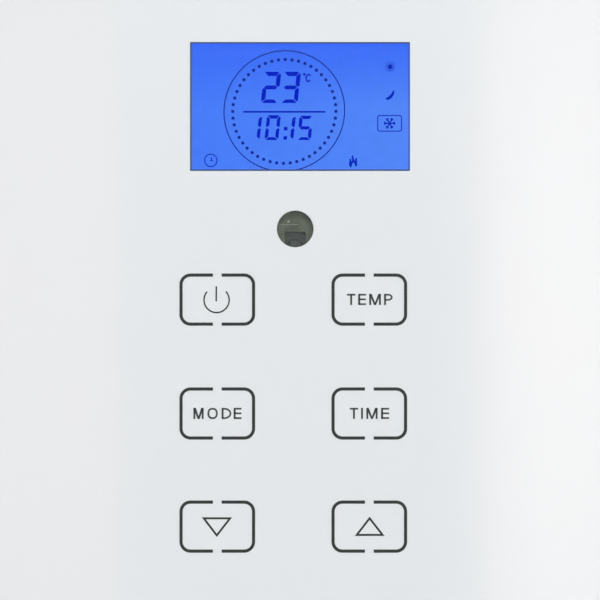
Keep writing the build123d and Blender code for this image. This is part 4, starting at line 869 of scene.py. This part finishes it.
triangle_line, power_line, power_bar = 1.98, 1.45, 1.5
power_middle, power_radius, power_start, power_end = (216.6, 300.0), 12.6, -39.7, 218.4
symbols = rounded(arc(power_middle, power_radius, power_start, power_end, 48), power_line)
symbols += rounded([(216.3, 286.9), (216.2, 300.8)], power_bar)
for triangle in ([(203.8, 518.3), (230.1, 518.3), (216.8, 535.4)],
                 [(356.8, 534.9), (382.6, 534.9), (369.6, 518.3)]):
    symbols.append(cover_line(triangle, triangle_line, True))
piece_of("key_symbols", symbols, key_ink)

legend_ink = finish("legend_print", linear(62, 67, 65), linear(70, 74, 73), 0.002, 0.5,
                    Specular_IOR_Level=0.2)
upright_stroke, level_stroke, round_stroke, round_power = 1.95, 1.7, 1.8, 2.4
slope_top, slope_foot = 2.5, 0.95
bowl_shares, bowl_height, arm_rise = {"D": 0.62, "P": 0.40}, 5.1, 0.1


def letter(figure, left, right, top, bottom):
    """Capital in a box of photo pixels. Stems and level bars are strips; the bowls of D and P are
    half ellipses; O is the rounded square |x|^2.4 + |y|^2.4 = 1; the slopes of M are fields that
    meet at its foot."""
    centre = (left + right) / 2
    stem, far_stem = left + upright_stroke / 2, right - upright_stroke / 2
    upper, lower = top + level_stroke / 2, bottom - level_stroke / 2
    strokes = []
    for stem_figures, column in (("TI", centre), ("EMPD", stem), ("M", far_stem)):
        if figure in stem_figures:
            strokes.append(cover_line([(column, top), (column, bottom)], upright_stroke))
    if figure == "M":
        for outer, side in ((left, 1), (right, -1)):
            strokes.append(cover_plate([
                (outer, top), (outer + slope_top * side, top),
                (centre + slope_foot * side, bottom), (centre - slope_foot * side, bottom),
            ]))
    arms = {"T": [upper], "E": [upper, (top + bottom) / 2 - arm_rise, lower]}.get(figure, [])
    strokes += [cover_line([(left, row), (right, row)], level_stroke) for row in arms]
    if figure == "O":
        oval = arc((0, 0), 1.0, 0, 360, 40)[:-1]
        oval = np.sign(oval) * np.abs(oval) ** (2 / round_power)
        oval *= (centre - stem, (lower - upper) / 2)
        strokes.append(cover_line(oval + (centre, (upper + lower) / 2), round_stroke, True))
    if figure in bowl_shares:
        foot = lower if figure == "D" else upper + bowl_height
        reach = bowl_shares[figure] * (right - left)
        bowl = arc((0, 0), 1.0, -90, 90, 20) * (reach, (foot - upper) / 2)
        bowl += (far_stem - reach, (upper + foot) / 2)
        bowl_line = np.vstack([[(left, upper)], bowl, [(left, foot)]])
        strokes.append(cover_line(bowl_line, level_stroke))
    return strokes


legends = {
    "legend_temp": ((293.9, 305.0), {"T": (346.9, 355.4), "E": (358.2, 366.0),
                                     "M": (369.2, 380.9), "P": (384.1, 392.7)}),
    "legend_mode": ((407.9, 419.0), {"M": (193.4, 203.7), "O": (207.4, 217.8),
                                     "D": (221.6, 231.4), "E": (233.7, 241.5)}),
    "legend_time": ((407.9, 418.9), {"T": (349.8, 358.1), "I": (360.9, 363.1),
                                     "M": (366.3, 377.6), "E": (381.1, 389.1)}),
}
for legend, ((top, bottom), figures) in legends.items():
    strokes = []
    for figure, (left, right) in figures.items():
        strokes += letter(figure, left, right, top, bottom)
    piece_of(legend, strokes, legend_ink)


# Border of the display window: a fine dark line round its edge, which shows between the lit glass
# and the cover. It is painted shade of the narrow gap there, not print.
window_half, border_inset, border_width = np.array([110.0, 64.5]), 0.15, 1.35
border_reach = window_half - border_inset - border_width / 2
corners = np.array([(-1, -1), (1, -1), (1, 1), (-1, 1)]) * border_reach
gap_shade_ink = finish("window_gap_painted_shade", linear(42, 62, 102), linear(50, 68, 108), 0.01, 0.5)
piece_of("display_border",
         [cover_line(corners + (photo_middle, display_row), border_width, True)], gap_shade_ink)
